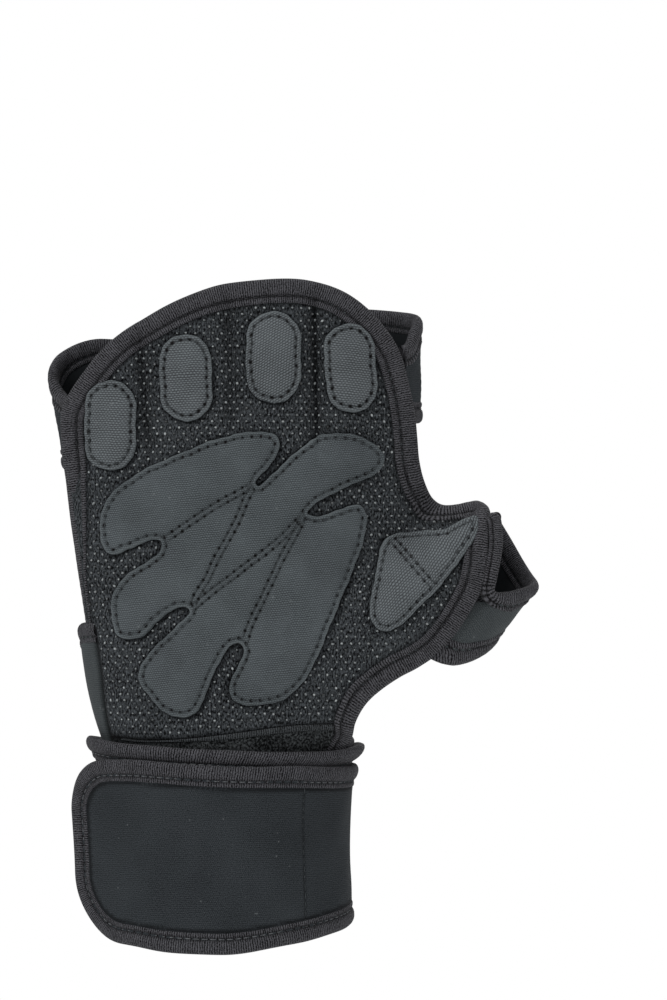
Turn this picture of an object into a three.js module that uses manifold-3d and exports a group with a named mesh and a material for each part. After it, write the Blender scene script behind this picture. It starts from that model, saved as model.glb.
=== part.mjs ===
// A right training glove, open at the fingertips, in the shape that it has when worn: a dotted palm
// panel with sewn grip pads, a band of finger loops across the back, a thumb loop, and a wide wrist
// wrap that winds one and a half times round the cuff and ends in a rounded flap.
// Units are millimetres. +Z runs from the cuff to the finger loops, +X to the thumb loop, and the
// palm panel faces -Y. The origin is the middle of the cuff's opening, halfway up the cuff.
import * as THREE from "three";
import { mergeVertices } from "three/addons/utils/BufferGeometryUtils.js";
import Module from "manifold-3d";

const wasm = await Module();
wasm.setup();

// Cloth sizes
const neoprene = 1.8; // wall of the palm, band, strap, cuff and wrap
const grip = 1.5; // sewn grip pad
const gap = 0.35; // air between neighbouring pieces
const tape = { width: 6.6, widest: 7.8, thickness: 3.2 }; // folded edge binding of the palm
const slimTape = { width: 5.6, thickness: 2.8 }; // binding of the straps and the wrap
const palmCell = 6.7; // spacing of the points that the palm is made from
const tapeStep = 6.8; // spacing of a binding's sections

// The space inside the glove, as sections from the cuff's foot up to the finger loops. left and
// right are the section's sides, front and back its depths, and edge the depth left at its sides.
// power and round set how square and how steep the front is: 2 and 0.5 make an ellipse.
const innerSections = [
  { z: -32, left: -28.4, right: 27.6, front: 21.6, back: 21.6, edge: 0, power: 2.0, round: 0.5 },
  { z: -5, left: -27.4, right: 26.6, front: 21.3, back: 21.3, edge: 0, power: 2.0, round: 0.5 },
  { z: 12, left: -27.7, right: 26.9, front: 21.3, back: 21.3, edge: 0, power: 2.0, round: 0.5 },
  { z: 21, left: -29.4, right: 28.8, front: 21.7, back: 21.3, edge: 0, power: 2.0, round: 0.5 },
  { z: 28, left: -32.3, right: 35.2, front: 22.3, back: 21.0, edge: 0, power: 2.0, round: 0.5 },
  { z: 40, left: -35.9, right: 46.0, front: 22.8, back: 20.0, edge: 0, power: 2.0, round: 0.5 },
  { z: 50, left: -37.6, right: 50.0, front: 22.8, back: 19.0, edge: 0.3, power: 2.1, round: 0.5 },
  { z: 60, left: -38.6, right: 52.0, front: 22.3, back: 18.0, edge: 1.0, power: 2.2, round: 0.55 },
  { z: 72, left: -40.0, right: 52.0, front: 21.2, back: 16.5, edge: 2.0, power: 2.3, round: 0.6 },
  { z: 85, left: -41.5, right: 52.0, front: 20.0, back: 15.0, edge: 3.5, power: 2.4, round: 0.75 },
  { z: 100, left: -43.0, right: 52.5, front: 18.8, back: 13.0, edge: 5.0, power: 2.6, round: 1.0 },
  { z: 118, left: -45.0, right: 53.0, front: 16.5, back: 11.0, edge: 5.5, power: 2.6, round: 1.0 },
  { z: 135, left: -46.0, right: 53.0, front: 14.0, back: 10.0, edge: 5.0, power: 2.6, round: 1.0 },
  { z: 155, left: -46.0, right: 53.0, front: 12.0, back: 9.0, edge: 4.0, power: 2.6, round: 1.0 },
];

// The space inside the thumb loop is a cone: out along it, round it from the front (0 degrees) over
// its lower side (90 degrees) to the back (180 degrees).
const thumb = {
  base: new THREE.Vector3(75.9, -3, 80.8),
  along: new THREE.Vector3(0.8, 0, 0.6),
  across: new THREE.Vector3(0.6, 0, -0.8),
  radius: 13.9,
  taper: 0.27,
  most: 22.5,
  flatten: 0.85,
};

// Seams between the finger loops draw the palm in: x at the seam's upper and lower end.
const fingerSeams = [
  { name: "little_ring", topX: -21.5, topZ: 131, lowX: -19.5, lowZ: 106 },
  { name: "ring_middle", topX: 1.6, topZ: 141, lowX: 2.6, lowZ: 113 },
  { name: "middle_index", topX: 24.0, topZ: 141, lowX: 24.6, lowZ: 109 },
];
const seamDip = { depth: 1.3, width: 3.4 };

// Outer edge of the bound palm, seen from the front, from the cuff's left seam over the top and
// round the thumb hole to the cuff on the right.
const palmEdge = [
  { x: -36.0, z: 58.5 }, { x: -38.2, z: 70.5 }, { x: -40.5, z: 83.5 }, { x: -42.0, z: 95.0 },
  { x: -43.4, z: 106.5 }, { x: -43.2, z: 115.0 }, { x: -40.6, z: 120.6 }, { x: -36.6, z: 126.4 },
  { x: -32.8, z: 131.0 }, { x: -27.5, z: 135.8 }, { x: -20.0, z: 140.4 }, { x: -11.5, z: 144.8 },
  { x: -3.5, z: 147.7 }, { x: 4.5, z: 149.3 }, { x: 14.5, z: 150.2 }, { x: 23.0, z: 149.7 },
  { x: 31.0, z: 147.2 }, { x: 38.5, z: 142.0 }, { x: 43.5, z: 136.5 }, { x: 47.0, z: 130.5 },
  { x: 49.3, z: 123.0 }, { x: 50.8, z: 115.5 }, { x: 51.6, z: 108.0 }, { x: 52.2, z: 101.5 },
  { x: 53.6, z: 96.0 }, { x: 55.6, z: 92.2 }, { x: 58.2, z: 90.6 }, { x: 61.5, z: 90.7 },
  { x: 64.8, z: 91.4 }, { x: 67.6, z: 91.7 }, { x: 69.6, z: 90.4 }, { x: 70.4, z: 86.0 },
  { x: 70.2, z: 80.0 }, { x: 69.7, z: 74.0 }, { x: 68.3, z: 68.0 }, { x: 65.6, z: 62.5 },
  { x: 61.4, z: 56.0 }, { x: 56.5, z: 50.4 }, { x: 51.8, z: 47.2 }, { x: 46.7, z: 44.6 },
  { x: 41.8, z: 41.2 }, { x: 37.8, z: 37.4 }, { x: 35.2, z: 33.0 }, { x: 33.9, z: 28.0 },
];
// The palm's left seam against the cuff, downwards, and where its dotted cloth ends.
const palmSeam = [
  { x: -34.6, z: 58.5 }, { x: -33.6, z: 52.0 }, { x: -32.7, z: 45.0 }, { x: -31.8, z: 36.0 },
  { x: -30.4, z: 29.0 },
];
const heelLine = [
  { x: -30.4, z: 28.9 }, { x: -22.0, z: 28.1 }, { x: -10.0, z: 28.6 }, { x: 4.0, z: 30.0 },
  { x: 18.0, z: 31.8 }, { x: 30.0, z: 32.1 },
];
const cuffFoot = -20; // lower edge of the cuff's own layer, under the wrap

// Grip pads of the finger loops: rounded bars, lean in degrees towards +X at the top.
const fingerPads = [
  { name: "grip_pad_little", x: -29.7, z: 111.3, width: 13.2, height: 23.6, lean: 0 },
  { name: "grip_pad_ring", x: -9.8, z: 123.8, width: 13.4, height: 22.8, lean: -2 },
  { name: "grip_pad_middle", x: 13.2, z: 129.2, width: 14.0, height: 24.1, lean: 0 },
  { name: "grip_pad_index", x: 33.5, z: 126.4, width: 13.0, height: 23.4, lean: -4 },
];

// Outline of the large palm pad: five lobes that lie side by side, with a notch between the ends
// of each two.
const palmPad = [
  // tip of the first lobe, and the notch before the second
  { x: 10.6, z: 109.5 }, { x: 14.4, z: 107.8 }, { x: 14.6, z: 104.4 }, { x: 11.8, z: 100.2 },
  { x: 8.6, z: 96.2 }, { x: 9.4, z: 95.2 }, { x: 13.4, z: 98.8 }, { x: 18.8, z: 103.8 },
  // tip of the second lobe, and the notch before the last
  { x: 23.8, z: 107.6 }, { x: 28.8, z: 109.1 }, { x: 35.4, z: 108.4 }, { x: 40.4, z: 105.6 },
  { x: 42.2, z: 102.2 }, { x: 40.8, z: 99.2 }, { x: 36.0, z: 96.6 }, { x: 29.0, z: 93.4 },
  { x: 23.0, z: 89.6 }, { x: 22.0, z: 87.9 }, { x: 24.6, z: 87.3 }, { x: 30.0, z: 88.8 },
  // the last lobe, down its right side and round its foot
  { x: 35.4, z: 90.4 }, { x: 37.4, z: 87.6 }, { x: 37.2, z: 83.0 }, { x: 34.8, z: 75.0 },
  { x: 31.2, z: 65.8 }, { x: 27.2, z: 56.4 }, { x: 23.6, z: 48.2 }, { x: 19.4, z: 42.0 },
  { x: 14.2, z: 38.6 }, { x: 5.2, z: 37.9 }, { x: 2.2, z: 39.6 }, { x: 2.0, z: 43.4 },
  // the notch, and the foot of the fourth lobe
  { x: 4.2, z: 48.6 }, { x: 5.7, z: 52.0 }, { x: 4.2, z: 54.0 }, { x: 1.6, z: 52.8 },
  { x: -1.2, z: 48.4 }, { x: -4.0, z: 42.2 }, { x: -6.6, z: 36.2 }, { x: -10.4, z: 34.5 },
  { x: -14.6, z: 35.4 }, { x: -18.6, z: 39.4 }, { x: -21.6, z: 43.4 }, { x: -21.4, z: 48.0 },
  { x: -17.0, z: 53.6 }, { x: -11.4, z: 59.0 },
  // the notch, and the foot of the third lobe
  { x: -8.7, z: 62.0 }, { x: -9.8, z: 63.4 }, { x: -13.0, z: 62.9 }, { x: -17.4, z: 59.4 },
  { x: -22.2, z: 55.3 }, { x: -26.8, z: 55.4 }, { x: -28.9, z: 59.8 }, { x: -28.8, z: 66.2 },
  { x: -26.4, z: 70.6 }, { x: -20.4, z: 75.0 },
  // the notch, and the first lobe round its foot and along its upper side
  { x: -16.2, z: 78.2 }, { x: -16.4, z: 80.8 }, { x: -19.8, z: 80.8 }, { x: -25.0, z: 78.6 },
  { x: -29.0, z: 77.2 }, { x: -31.6, z: 79.8 }, { x: -32.2, z: 84.4 }, { x: -30.8, z: 91.0 },
  { x: -26.6, z: 95.6 }, { x: -20.4, z: 99.6 }, { x: -11.6, z: 103.6 }, { x: -2.0, z: 107.4 },
];

// Outline of the thumb's grip pad.
const thumbPad = [
  { x: 67.4, z: 86.6 }, { x: 66.6, z: 82.0 }, { x: 62.0, z: 75.4 }, { x: 56.6, z: 68.4 },
  { x: 50.4, z: 62.4 }, { x: 46.0, z: 58.2 }, { x: 42.0, z: 57.2 }, { x: 38.8, z: 60.2 },
  { x: 39.2, z: 66.4 }, { x: 40.6, z: 73.6 }, { x: 41.8, z: 80.0 }, { x: 44.6, z: 82.3 },
  { x: 51.6, z: 82.8 }, { x: 58.4, z: 83.4 }, { x: 63.4, z: 85.8 }, { x: 66.4, z: 87.0 },
];

// The finger band, from the little finger's loop over the back of the glove to the index finger's
// loop: its middle line from above, its upper and lower edge, and how far it leans in.
const bandStations = [
  { x: -42.6, y: -1.2, top: 120.5, low: 99.5, lean: 0.16 },
  { x: -44.9, y: 2.6, top: 126.0, low: 99.5, lean: 0.16 },
  { x: -42.0, y: 7.8, top: 131.0, low: 100.0, lean: 0.12 },
  { x: -32.0, y: 10.8, top: 134.5, low: 101.0, lean: 0.05 },
  { x: -20.6, y: 9.8, top: 134.0, low: 102.0, lean: 0 },
  { x: -10.5, y: 12.2, top: 141.0, low: 103.5, lean: 0 },
  { x: 1.8, y: 11.0, top: 138.5, low: 105.5, lean: 0 },
  { x: 13.0, y: 12.8, top: 143.5, low: 107.0, lean: 0 },
  { x: 24.4, y: 11.2, top: 139.5, low: 108.5, lean: 0 },
  { x: 36.0, y: 12.2, top: 142.5, low: 110.0, lean: 0 },
  { x: 47.5, y: 8.8, top: 141.5, low: 111.5, lean: 0 },
  { x: 51.4, y: 3.2, top: 138.5, low: 112.0, lean: 0 },
  { x: 50.3, y: -0.6, top: 133.0, low: 112.0, lean: 0 },
];
const leanFrom = 120; // the band stands on its stations at this height

// The thumb loop, round the back of its cone from the palm's lower edge to its upper edge: how far
// out along the cone its inner edge and its rim lie. The rim also runs in front, beside the palm.
const strapStations = [
  { turn: 42, inner: -34.3, outer: -8.9 },
  { turn: 53, inner: -31.6, outer: -6.0 },
  { turn: 74, inner: -25.6, outer: -2.4 },
  { turn: 90, inner: -22.0, outer: -1.0 },
  { turn: 135, inner: -19.0, outer: -0.4 },
  { turn: 180, inner: -16.5, outer: 0.5 },
  { turn: 225, inner: -13.5, outer: 1.6 },
  { turn: 252, inner: -11.5, outer: 2.2 },
];
const rimStations = [
  { turn: -50, out: 2.1 }, { turn: -44, out: 2.0 }, { turn: -33, out: 1.8 }, { turn: -15, out: -0.2 },
  { turn: -2, out: -2.4 }, { turn: 9, out: -5.2 }, { turn: 22, out: -9.2 }, { turn: 29, out: -11.4 },
  { turn: 40, out: -9.4 }, { turn: 53, out: -6.0 }, { turn: 74, out: -2.4 }, { turn: 90, out: -1.0 },
  { turn: 135, out: -0.4 }, { turn: 180, out: 0.5 }, { turn: 225, out: 1.6 }, { turn: 256, out: 2.2 },
];

// The cuff's own layer runs from the palm's left seam round the back to the right side. Its bound
// upper edge falls from the left side to the right. angle is 0 on the right, 90 at the back and
// 180 on the left.
const cuffEdge = [
  { angle: 214, top: 57.0 }, { angle: 196, top: 56.5 }, { angle: 176, top: 54.5 },
  { angle: 150, top: 48.5 }, { angle: 120, top: 41.0 }, { angle: 90, top: 35.5 },
  { angle: 55, top: 31.5 }, { angle: 25, top: 29.3 }, { angle: 0, top: 28.0 }, { angle: -14, top: 27.0 },
];

// The wrap, by how far it has turned from its sewn end on the right, clockwise from above, with
// the first layer over the front, the second over it from the right again, and the flap's end.
const wrapStations = [
  { turn: 0, top: 25.0, low: -16.5 }, { turn: 15, top: 24.8, low: -16.5 },
  { turn: 60, top: 25.2, low: -16.8 }, { turn: 105, top: 26.0, low: -17.0 },
  { turn: 150, top: 27.3, low: -17.0 }, { turn: 195, top: 29.2, low: -16.5 },
  { turn: 240, top: 27.0, low: -17.0 }, { turn: 285, top: 23.6, low: -18.2 },
  { turn: 330, top: 21.2, low: -19.4 }, { turn: 375, top: 20.4, low: -20.4 },
  { turn: 400, top: 20.6, low: -22.2 }, { turn: 430, top: 21.6, low: -25.0 },
  { turn: 465, top: 21.9, low: -27.6 }, { turn: 490, top: 22.8, low: -27.0 },
  { turn: 510, top: 23.3, low: -25.7 }, { turn: 560, top: 22.6, low: -23.6 },
];
const wrapStart = 15; // angle on the cuff where the wrap is sewn on
const wrapLift = { first: 3.1, second: 6.1, from: 280, to: 352 }; // height over the cuff's face
const flap = { tangent: 510, mmPerTurn: 0.5, end: 552, topRound: 13.5, lowRound: 17, shear: -0.07 };

// Value of one column of a table at a place, on a smooth line through its rows.
function column(rows, key, name, at) {
  const last = rows.length - 1;
  let i = 0;
  const rising = rows[last][key] > rows[0][key];
  while (i < last - 1 && (rising ? at > rows[i + 1][key] : at < rows[i + 1][key])) i++;
  const [a, b] = [rows[i], rows[i + 1]];
  const span = b[key] - a[key];
  const t = THREE.MathUtils.clamp((at - a[key]) / span, 0, 1);
  const slope = (p, q) => (p && q ? (q[name] - p[name]) / (q[key] - p[key]) : null);
  const middle = slope(a, b);
  const join = (s) => {
    if (s === null || s * middle <= 0) return 0;
    return Math.sign(s) * Math.min(Math.abs(s + middle) / 2, 3 * Math.abs(s), 3 * Math.abs(middle));
  };
  const startSlope = join(slope(rows[i - 1], a)) * span;
  const endSlope = join(slope(b, rows[i + 2])) * span;
  const t2 = t * t;
  const t3 = t2 * t;
  return (
    (2 * t3 - 3 * t2 + 1) * a[name] +
    (t3 - 2 * t2 + t) * startSlope +
    (3 * t2 - 2 * t3) * b[name] +
    (t3 - t2) * endSlope
  );
}

const smoothstep = (x, low, high) => THREE.MathUtils.smoothstep(x, low, high);
const softMin = (a, b, blend) => -blend * Math.log(Math.exp(-a / blend) + Math.exp(-b / blend));

function innerSection(z) {
  const section = {};
  for (const name of ["left", "right", "front", "back", "edge", "power", "round"])
    section[name] = column(innerSections, "z", name, z);
  section.centre = (section.left + section.right) / 2;
  section.half = (section.right - section.left) / 2;
  return section;
}

const thumbRadius = (out) => Math.min(thumb.most, thumb.radius + thumb.taper * Math.max(0, -out));

// Depth of the palm's outer face at a point of the front view.
function frontDepth(x, z) {
  const inner = innerSection(z);
  const share = Math.abs(x - inner.centre) / inner.half;
  const crown = Math.pow(Math.max(0, 1 - Math.pow(share, inner.power)), inner.round);
  const beyond = Math.max(0, share - 1) * inner.half;
  const palm = -(inner.edge + (inner.front - inner.edge) * crown) + beyond;

  const fromBase = new THREE.Vector3(x, 0, z).sub(thumb.base);
  fromBase.y = 0;
  const out = fromBase.dot(thumb.along);
  const radius = thumbRadius(out);
  const side = Math.abs(fromBase.dot(thumb.across)) / radius;
  const rise = (1 - Math.pow(Math.min(side, 1.6), 2.4)) * thumb.flatten * radius;
  const fade = smoothstep(out, -78, -42);
  const bulge = thumb.base.y - rise * fade + (1 - fade) * 20;

  let seam = 0;
  for (const s of fingerSeams) {
    const t = THREE.MathUtils.clamp((z - s.lowZ) / (s.topZ - s.lowZ), -0.4, 1.4);
    const off = (x - THREE.MathUtils.lerp(s.lowX, s.topX, t)) / seamDip.width;
    const strength = smoothstep(z, s.lowZ - 10, s.lowZ + 4) * (1 - smoothstep(z, s.topZ, s.topZ + 8));
    seam += seamDip.depth * strength * Math.exp(-off * off);
  }
  return softMin(palm, bulge, 3.5) + seam;
}

// The palm's outer face: its point and its outward normal.
function palmFace(x, z) {
  const d = 0.4;
  const dx = (frontDepth(x + d, z) - frontDepth(x - d, z)) / (2 * d);
  const dz = (frontDepth(x, z + d) - frontDepth(x, z - d)) / (2 * d);
  return {
    point: new THREE.Vector3(x, frontDepth(x, z), z),
    normal: new THREE.Vector3(dx, -1, dz).normalize(),
  };
}

// A point on the cuff's outer face, lifted off it, by its angle and height.
function cuffFace(angle, z, lift) {
  const inner = innerSection(z);
  const a = THREE.MathUtils.degToRad(angle);
  const depth = Math.sin(a) > 0 ? inner.back : inner.front;
  return new THREE.Vector3(
    inner.centre + (inner.half + lift) * Math.cos(a),
    (depth + lift) * Math.sin(a),
    z,
  );
}

// A point on the thumb loop's cone.
function thumbFace(turn, out, lift) {
  const a = THREE.MathUtils.degToRad(turn);
  const radius = thumbRadius(out) + lift;
  return thumb.base
    .clone()
    .addScaledVector(thumb.along, out)
    .addScaledVector(thumb.across, radius * Math.sin(a))
    .add(new THREE.Vector3(0, -thumb.flatten * radius * Math.cos(a), 0));
}

const wrapHeight = (turn) =>
  THREE.MathUtils.lerp(wrapLift.first, wrapLift.second, smoothstep(turn, wrapLift.from, wrapLift.to));

// A point on the wrap's middle surface. Past the flap's tangent it runs straight on.
function wrapFace(turn, z) {
  const wound = Math.min(turn, flap.tangent);
  const at = (t) => cuffFace(wrapStart - t, z, wrapHeight(t));
  const point = at(wound);
  if (turn <= flap.tangent) return point;
  const onward = point.clone().sub(at(wound - 0.5)).normalize();
  const slant = flap.shear * (z - 12) * smoothstep(turn, flap.tangent, flap.end);
  return point.addScaledVector(onward, (turn - flap.tangent) * flap.mmPerTurn - slant);
}

// The band's middle surface: a smooth wall along its stations.
const bandPath = new THREE.CatmullRomCurve3(
  bandStations.map((s) => new THREE.Vector3(s.x, s.y, 0)),
  false,
  "centripetal",
);
function bandColumn(name, u) {
  const rows = bandStations.map((s, i) => ({ at: i / (bandStations.length - 1), value: s[name] }));
  return column(rows, "at", "value", u);
}
function bandFace(u, z) {
  const p = bandPath.getPoint(THREE.MathUtils.clamp(u, 0, 1));
  return new THREE.Vector3(p.x + bandColumn("lean", u) * (leanFrom - z), p.y, z);
}

// Unit normal of a surface given by two numbers, on the side that sense picks.
function normalOf(face, u, v, du, dv, sense) {
  const alongU = face(u + du, v).sub(face(u - du, v));
  const alongV = face(u, v + dv).sub(face(u, v - dv));
  return alongU.cross(alongV).normalize().multiplyScalar(sense);
}

// A closed solid from rows of points: front and back sheets joined round their rim.
function sheetGeometry(front, back) {
  const rows = front.length;
  const columns = front[0].length;
  const points = [...front.flat(), ...back.flat()];
  const index = [];
  const id = (side, i, j) => side * rows * columns + i * columns + j;
  const quad = (a, b, c, d) => index.push(a, b, c, a, c, d);
  for (let i = 0; i < rows - 1; i++)
    for (let j = 0; j < columns - 1; j++) {
      quad(id(0, i, j), id(0, i + 1, j), id(0, i + 1, j + 1), id(0, i, j + 1));
      quad(id(1, i, j), id(1, i, j + 1), id(1, i + 1, j + 1), id(1, i + 1, j));
    }
  for (let i = 0; i < rows - 1; i++) {
    quad(id(0, i, 0), id(1, i, 0), id(1, i + 1, 0), id(0, i + 1, 0));
    quad(id(0, i, columns - 1), id(0, i + 1, columns - 1), id(1, i + 1, columns - 1), id(1, i, columns - 1));
  }
  for (let j = 0; j < columns - 1; j++) {
    quad(id(0, 0, j), id(0, 0, j + 1), id(1, 0, j + 1), id(1, 0, j));
    quad(id(0, rows - 1, j), id(1, rows - 1, j), id(1, rows - 1, j + 1), id(0, rows - 1, j + 1));
  }
  return indexed(points, index);
}

function indexed(points, index) {
  const geometry = new THREE.BufferGeometry().setFromPoints(points);
  geometry.setIndex(index);
  return geometry;
}

// three.js geometry to a solid for cutting, whichever way its faces were listed, and back.
function solidOf(geometry) {
  const bare = new THREE.BufferGeometry().setAttribute("position", geometry.getAttribute("position"));
  if (geometry.index) bare.setIndex(geometry.index);
  const merged = mergeVertices(bare, 1e-4);
  const triVerts = new Uint32Array(merged.index.array);
  const make = () =>
    new wasm.Manifold(
      new wasm.Mesh({ numProp: 3, vertProperties: merged.attributes.position.array, triVerts }),
    );
  const made = make();
  if (made.volume() > 0) return made;
  for (let i = 0; i < triVerts.length; i += 3)
    [triVerts[i + 1], triVerts[i + 2]] = [triVerts[i + 2], triVerts[i + 1]];
  return make();
}

// The largest single body of a solid, as three.js geometry, without points closer than a hair.
function geometryOf(solid) {
  const bodies = solid.simplify(0.02).decompose();
  const largest = bodies.reduce((a, b) => (b.volume() > a.volume() ? b : a));
  const mesh = largest.getMesh();
  const positions = new Float32Array(mesh.numVert * 3);
  for (let i = 0; i < mesh.numVert; i++)
    positions.set(mesh.vertProperties.subarray(i * mesh.numProp, i * mesh.numProp + 3), i * 3);
  const geometry = new THREE.BufferGeometry();
  geometry.setAttribute("position", new THREE.BufferAttribute(positions, 3));
  geometry.setIndex(new THREE.BufferAttribute(mesh.triVerts, 1));
  geometry.computeVertexNormals();
  return geometry;
}

// A folded tape along an edge. edge lists the edge's points with the cloth's normal there, sense
// says on which side of its run the cloth lies, and grow makes it fatter for cutting. centred
// tells that the points lie on the tape's middle line, not on its edge.
function tapeSolid(edge, { width, thickness, centred = false, sense = 1, drop = 0, grow = 0 }) {
  const count = edge.length;
  const rings = [];
  for (let i = 0; i < count; i++) {
    const before = edge[Math.max(0, i - 1)].point;
    const after = edge[Math.min(count - 1, i + 1)].point;
    const run = after.clone().sub(before).normalize();
    const normal = edge[i].normal.clone().addScaledVector(run, -edge[i].normal.dot(run)).normalize();
    const inward = run.clone().cross(normal).multiplyScalar(sense);
    const w = edge[i].width ?? width;
    const centre = edge[i].point.clone().addScaledVector(inward, centred ? 0 : w / 2);
    centre.addScaledVector(normal, -drop);
    const [a, b] = [w / 2 + grow, thickness / 2 + grow];
    const corners = [
      [-a, -0.45 * b], [-a, 0.45 * b], [-0.62 * a, b], [a, 0.8 * b], [a, -0.8 * b], [-0.62 * a, -b],
    ];
    rings.push(corners.map(([s, n]) => centre.clone().addScaledVector(inward, s).addScaledVector(normal, n)));
    if (grow > 0 && (i === 0 || i === count - 1)) {
      const push = run.multiplyScalar(i === 0 ? -grow : grow);
      rings[rings.length - 1].forEach((p) => p.add(push));
    }
  }
  const sides = rings[0].length;
  const index = [];
  const id = (i, k) => i * sides + (k % sides);
  for (let i = 0; i < count - 1; i++)
    for (let k = 0; k < sides; k++)
      index.push(id(i, k), id(i + 1, k), id(i + 1, k + 1), id(i, k), id(i + 1, k + 1), id(i, k + 1));
  for (let k = 1; k < sides - 1; k++) {
    index.push(0, k, k + 1);
    index.push(id(count - 1, 0), id(count - 1, k + 1), id(count - 1, k));
  }
  return solidOf(indexed(rings.flat(), index));
}

// A smooth line through rows of a front-view table, as evenly spaced points.
function smoothLine(rows, step, closed = false) {
  const curve = new THREE.CatmullRomCurve3(
    rows.map((r) => new THREE.Vector3(r.x, 0, r.z)),
    closed,
    "centripetal",
  );
  const points = curve.getSpacedPoints(Math.round(curve.getLength() / step));
  return closed ? points.slice(0, -1) : points;
}

// A prism of a closed front-view outline, right through the glove's front.
function frontPrism(points, { near = 60, far = 30 } = {}) {
  const shape = new THREE.Shape(points.map((p) => new THREE.Vector2(p.x, p.z)));
  const prism = new THREE.ExtrudeGeometry(shape, { depth: near + far, bevelEnabled: false, steps: 1 });
  prism.rotateX(Math.PI / 2);
  prism.translate(0, far, 0);
  return solidOf(prism);
}

// A sheet over the whole palm face, from one height over it to another.
function palmSheet(low, high, cell, box) {
  const rows = Math.round((box.high.z - box.low.z) / cell);
  const columns = Math.round((box.high.x - box.low.x) / cell);
  const sheetAt = (height) =>
    Array.from({ length: rows + 1 }, (_, i) =>
      Array.from({ length: columns + 1 }, (_, j) => {
        const x = THREE.MathUtils.lerp(box.low.x, box.high.x, j / columns);
        const z = THREE.MathUtils.lerp(box.low.z, box.high.z, i / rows);
        const { point, normal } = palmFace(x, z);
        return point.addScaledVector(normal, height);
      }),
    );
  return solidOf(sheetGeometry(sheetAt(high), sheetAt(low)));
}

// How far in from a surface's edge, along its second number, a tape on that edge ends.
function tapeIn(face, u, edge, du) {
  const run = face(u + du, edge(u + du)).sub(face(u - du, edge(u - du))).normalize();
  const across = face(u, edge(u) + 0.5).sub(face(u, edge(u) - 0.5)).normalize();
  return (slimTape.width + gap) / Math.sqrt(1 - run.dot(across) ** 2) + 0.3;
}

// A sheet of even thickness about a surface of two numbers.
function wallSheet(face, us, vsOf, thickness, { du = 0.5, dv = 0.5, sense = 1 } = {}) {
  const side = (height) =>
    us.map((u) =>
      vsOf(u).map((v) => face(u, v).addScaledVector(normalOf(face, u, v, du, dv, sense), height)),
    );
  return solidOf(sheetGeometry(side(thickness / 2), side(-thickness / 2)));
}

const steps = (from, to, count) =>
  Array.from({ length: count + 1 }, (_, i) => THREE.MathUtils.lerp(from, to, i / count));

// Materials
const cloth = (colour, roughness) =>
  new THREE.MeshStandardMaterial({ color: colour, roughness, metalness: 0 });
const dottedCloth = cloth(0x232628, 0.85);
const padCloth = cloth(0x3b4144, 0.62);
const plainCloth = cloth(0x24282a, 0.8);
const ribTape = cloth(0x242427, 0.92);
const fuzzyCloth = cloth(0x1d1f20, 0.98);

const glove = new THREE.Group();
function addPiece(name, solid, material) {
  const mesh = new THREE.Mesh(geometryOf(solid), material);
  mesh.name = name;
  glove.add(mesh);
  return mesh;
}

// Palm binding, along the palm's free edge and on down the cuff's right slit
const slit = [
  { x: 28.4, z: 20 }, { x: 25.4, z: 10 }, { x: 24.2, z: 0 }, { x: 24.0, z: -10 }, { x: 24.2, z: -20 },
];
const palmEdgeLine = smoothLine([...palmEdge, ...slit], tapeStep);
const palmEdgeIn = (inset) =>
  palmEdgeLine.map((p, i, all) => {
    const run = all[Math.min(i + 1, all.length - 1)].clone().sub(all[Math.max(i - 1, 0)]).normalize();
    return { x: p.x + run.z * inset, z: p.z - run.x * inset, side: new THREE.Vector3(run.z, 0, -run.x) };
  });
const palmMiddle = palmEdgeIn(tape.width / 2).map(({ x, z, side }) => {
  const { point, normal } = palmFace(x, z);
  const slope = side.dot(normal) / normal.y;
  return { point, normal, width: Math.min(tape.width * Math.hypot(1, slope), tape.widest) };
});
const palmTape = { ...tape, centred: true, drop: neoprene / 2 };
const palmBinding = tapeSolid(palmMiddle, palmTape);
const palmBindingCut = tapeSolid(palmMiddle, { ...palmTape, grow: gap });
addPiece("palm_binding", palmBinding, ribTape);

// Palm panel: dotted cloth up to the binding, and down to the heel line
const trimIn = 1.5; // the cloth ends this far inside the tape's outer edge
const insetEdge = palmEdgeIn(trimIn).filter((p) => p.z > 29.5);
const heelRun = smoothLine(heelLine, 7).reverse();
const seamRun = smoothLine([...palmSeam].reverse(), 7);
const palmBox = { low: { x: -48, z: 24 }, high: { x: 76, z: 152 } };
const panelOutline = [...insetEdge, ...heelRun, ...seamRun.slice(1)];
const palmPanel = palmSheet(-neoprene, 0, palmCell, palmBox)
  .intersect(frontPrism(panelOutline))
  .subtract(palmBindingCut);
addPiece("palm_panel", palmPanel, dottedCloth);

// Heel patch: loop cloth below the dotted cloth, down under the wrap
const heelTop = [...heelRun].reverse().map((p) => ({ x: p.x, z: p.z - gap }));
const heelLeft = [{ x: -27, z: 20 }, { x: -24.6, z: 8 }, { x: -24.2, z: cuffFoot }];
const heelOutline = [
  ...heelTop,
  { x: 31, z: 24 },
  ...slit.map((p) => ({ x: p.x - 1.5, z: p.z })),
  ...[...heelLeft].reverse(),
];
const heelBox = { low: { x: -34, z: cuffFoot - 4 }, high: { x: 36, z: 36 } };
const heelPatch = palmSheet(-neoprene, 0, palmCell, heelBox)
  .intersect(frontPrism(heelOutline))
  .subtract(palmBindingCut);
addPiece("heel_patch", heelPatch, fuzzyCloth);

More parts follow.
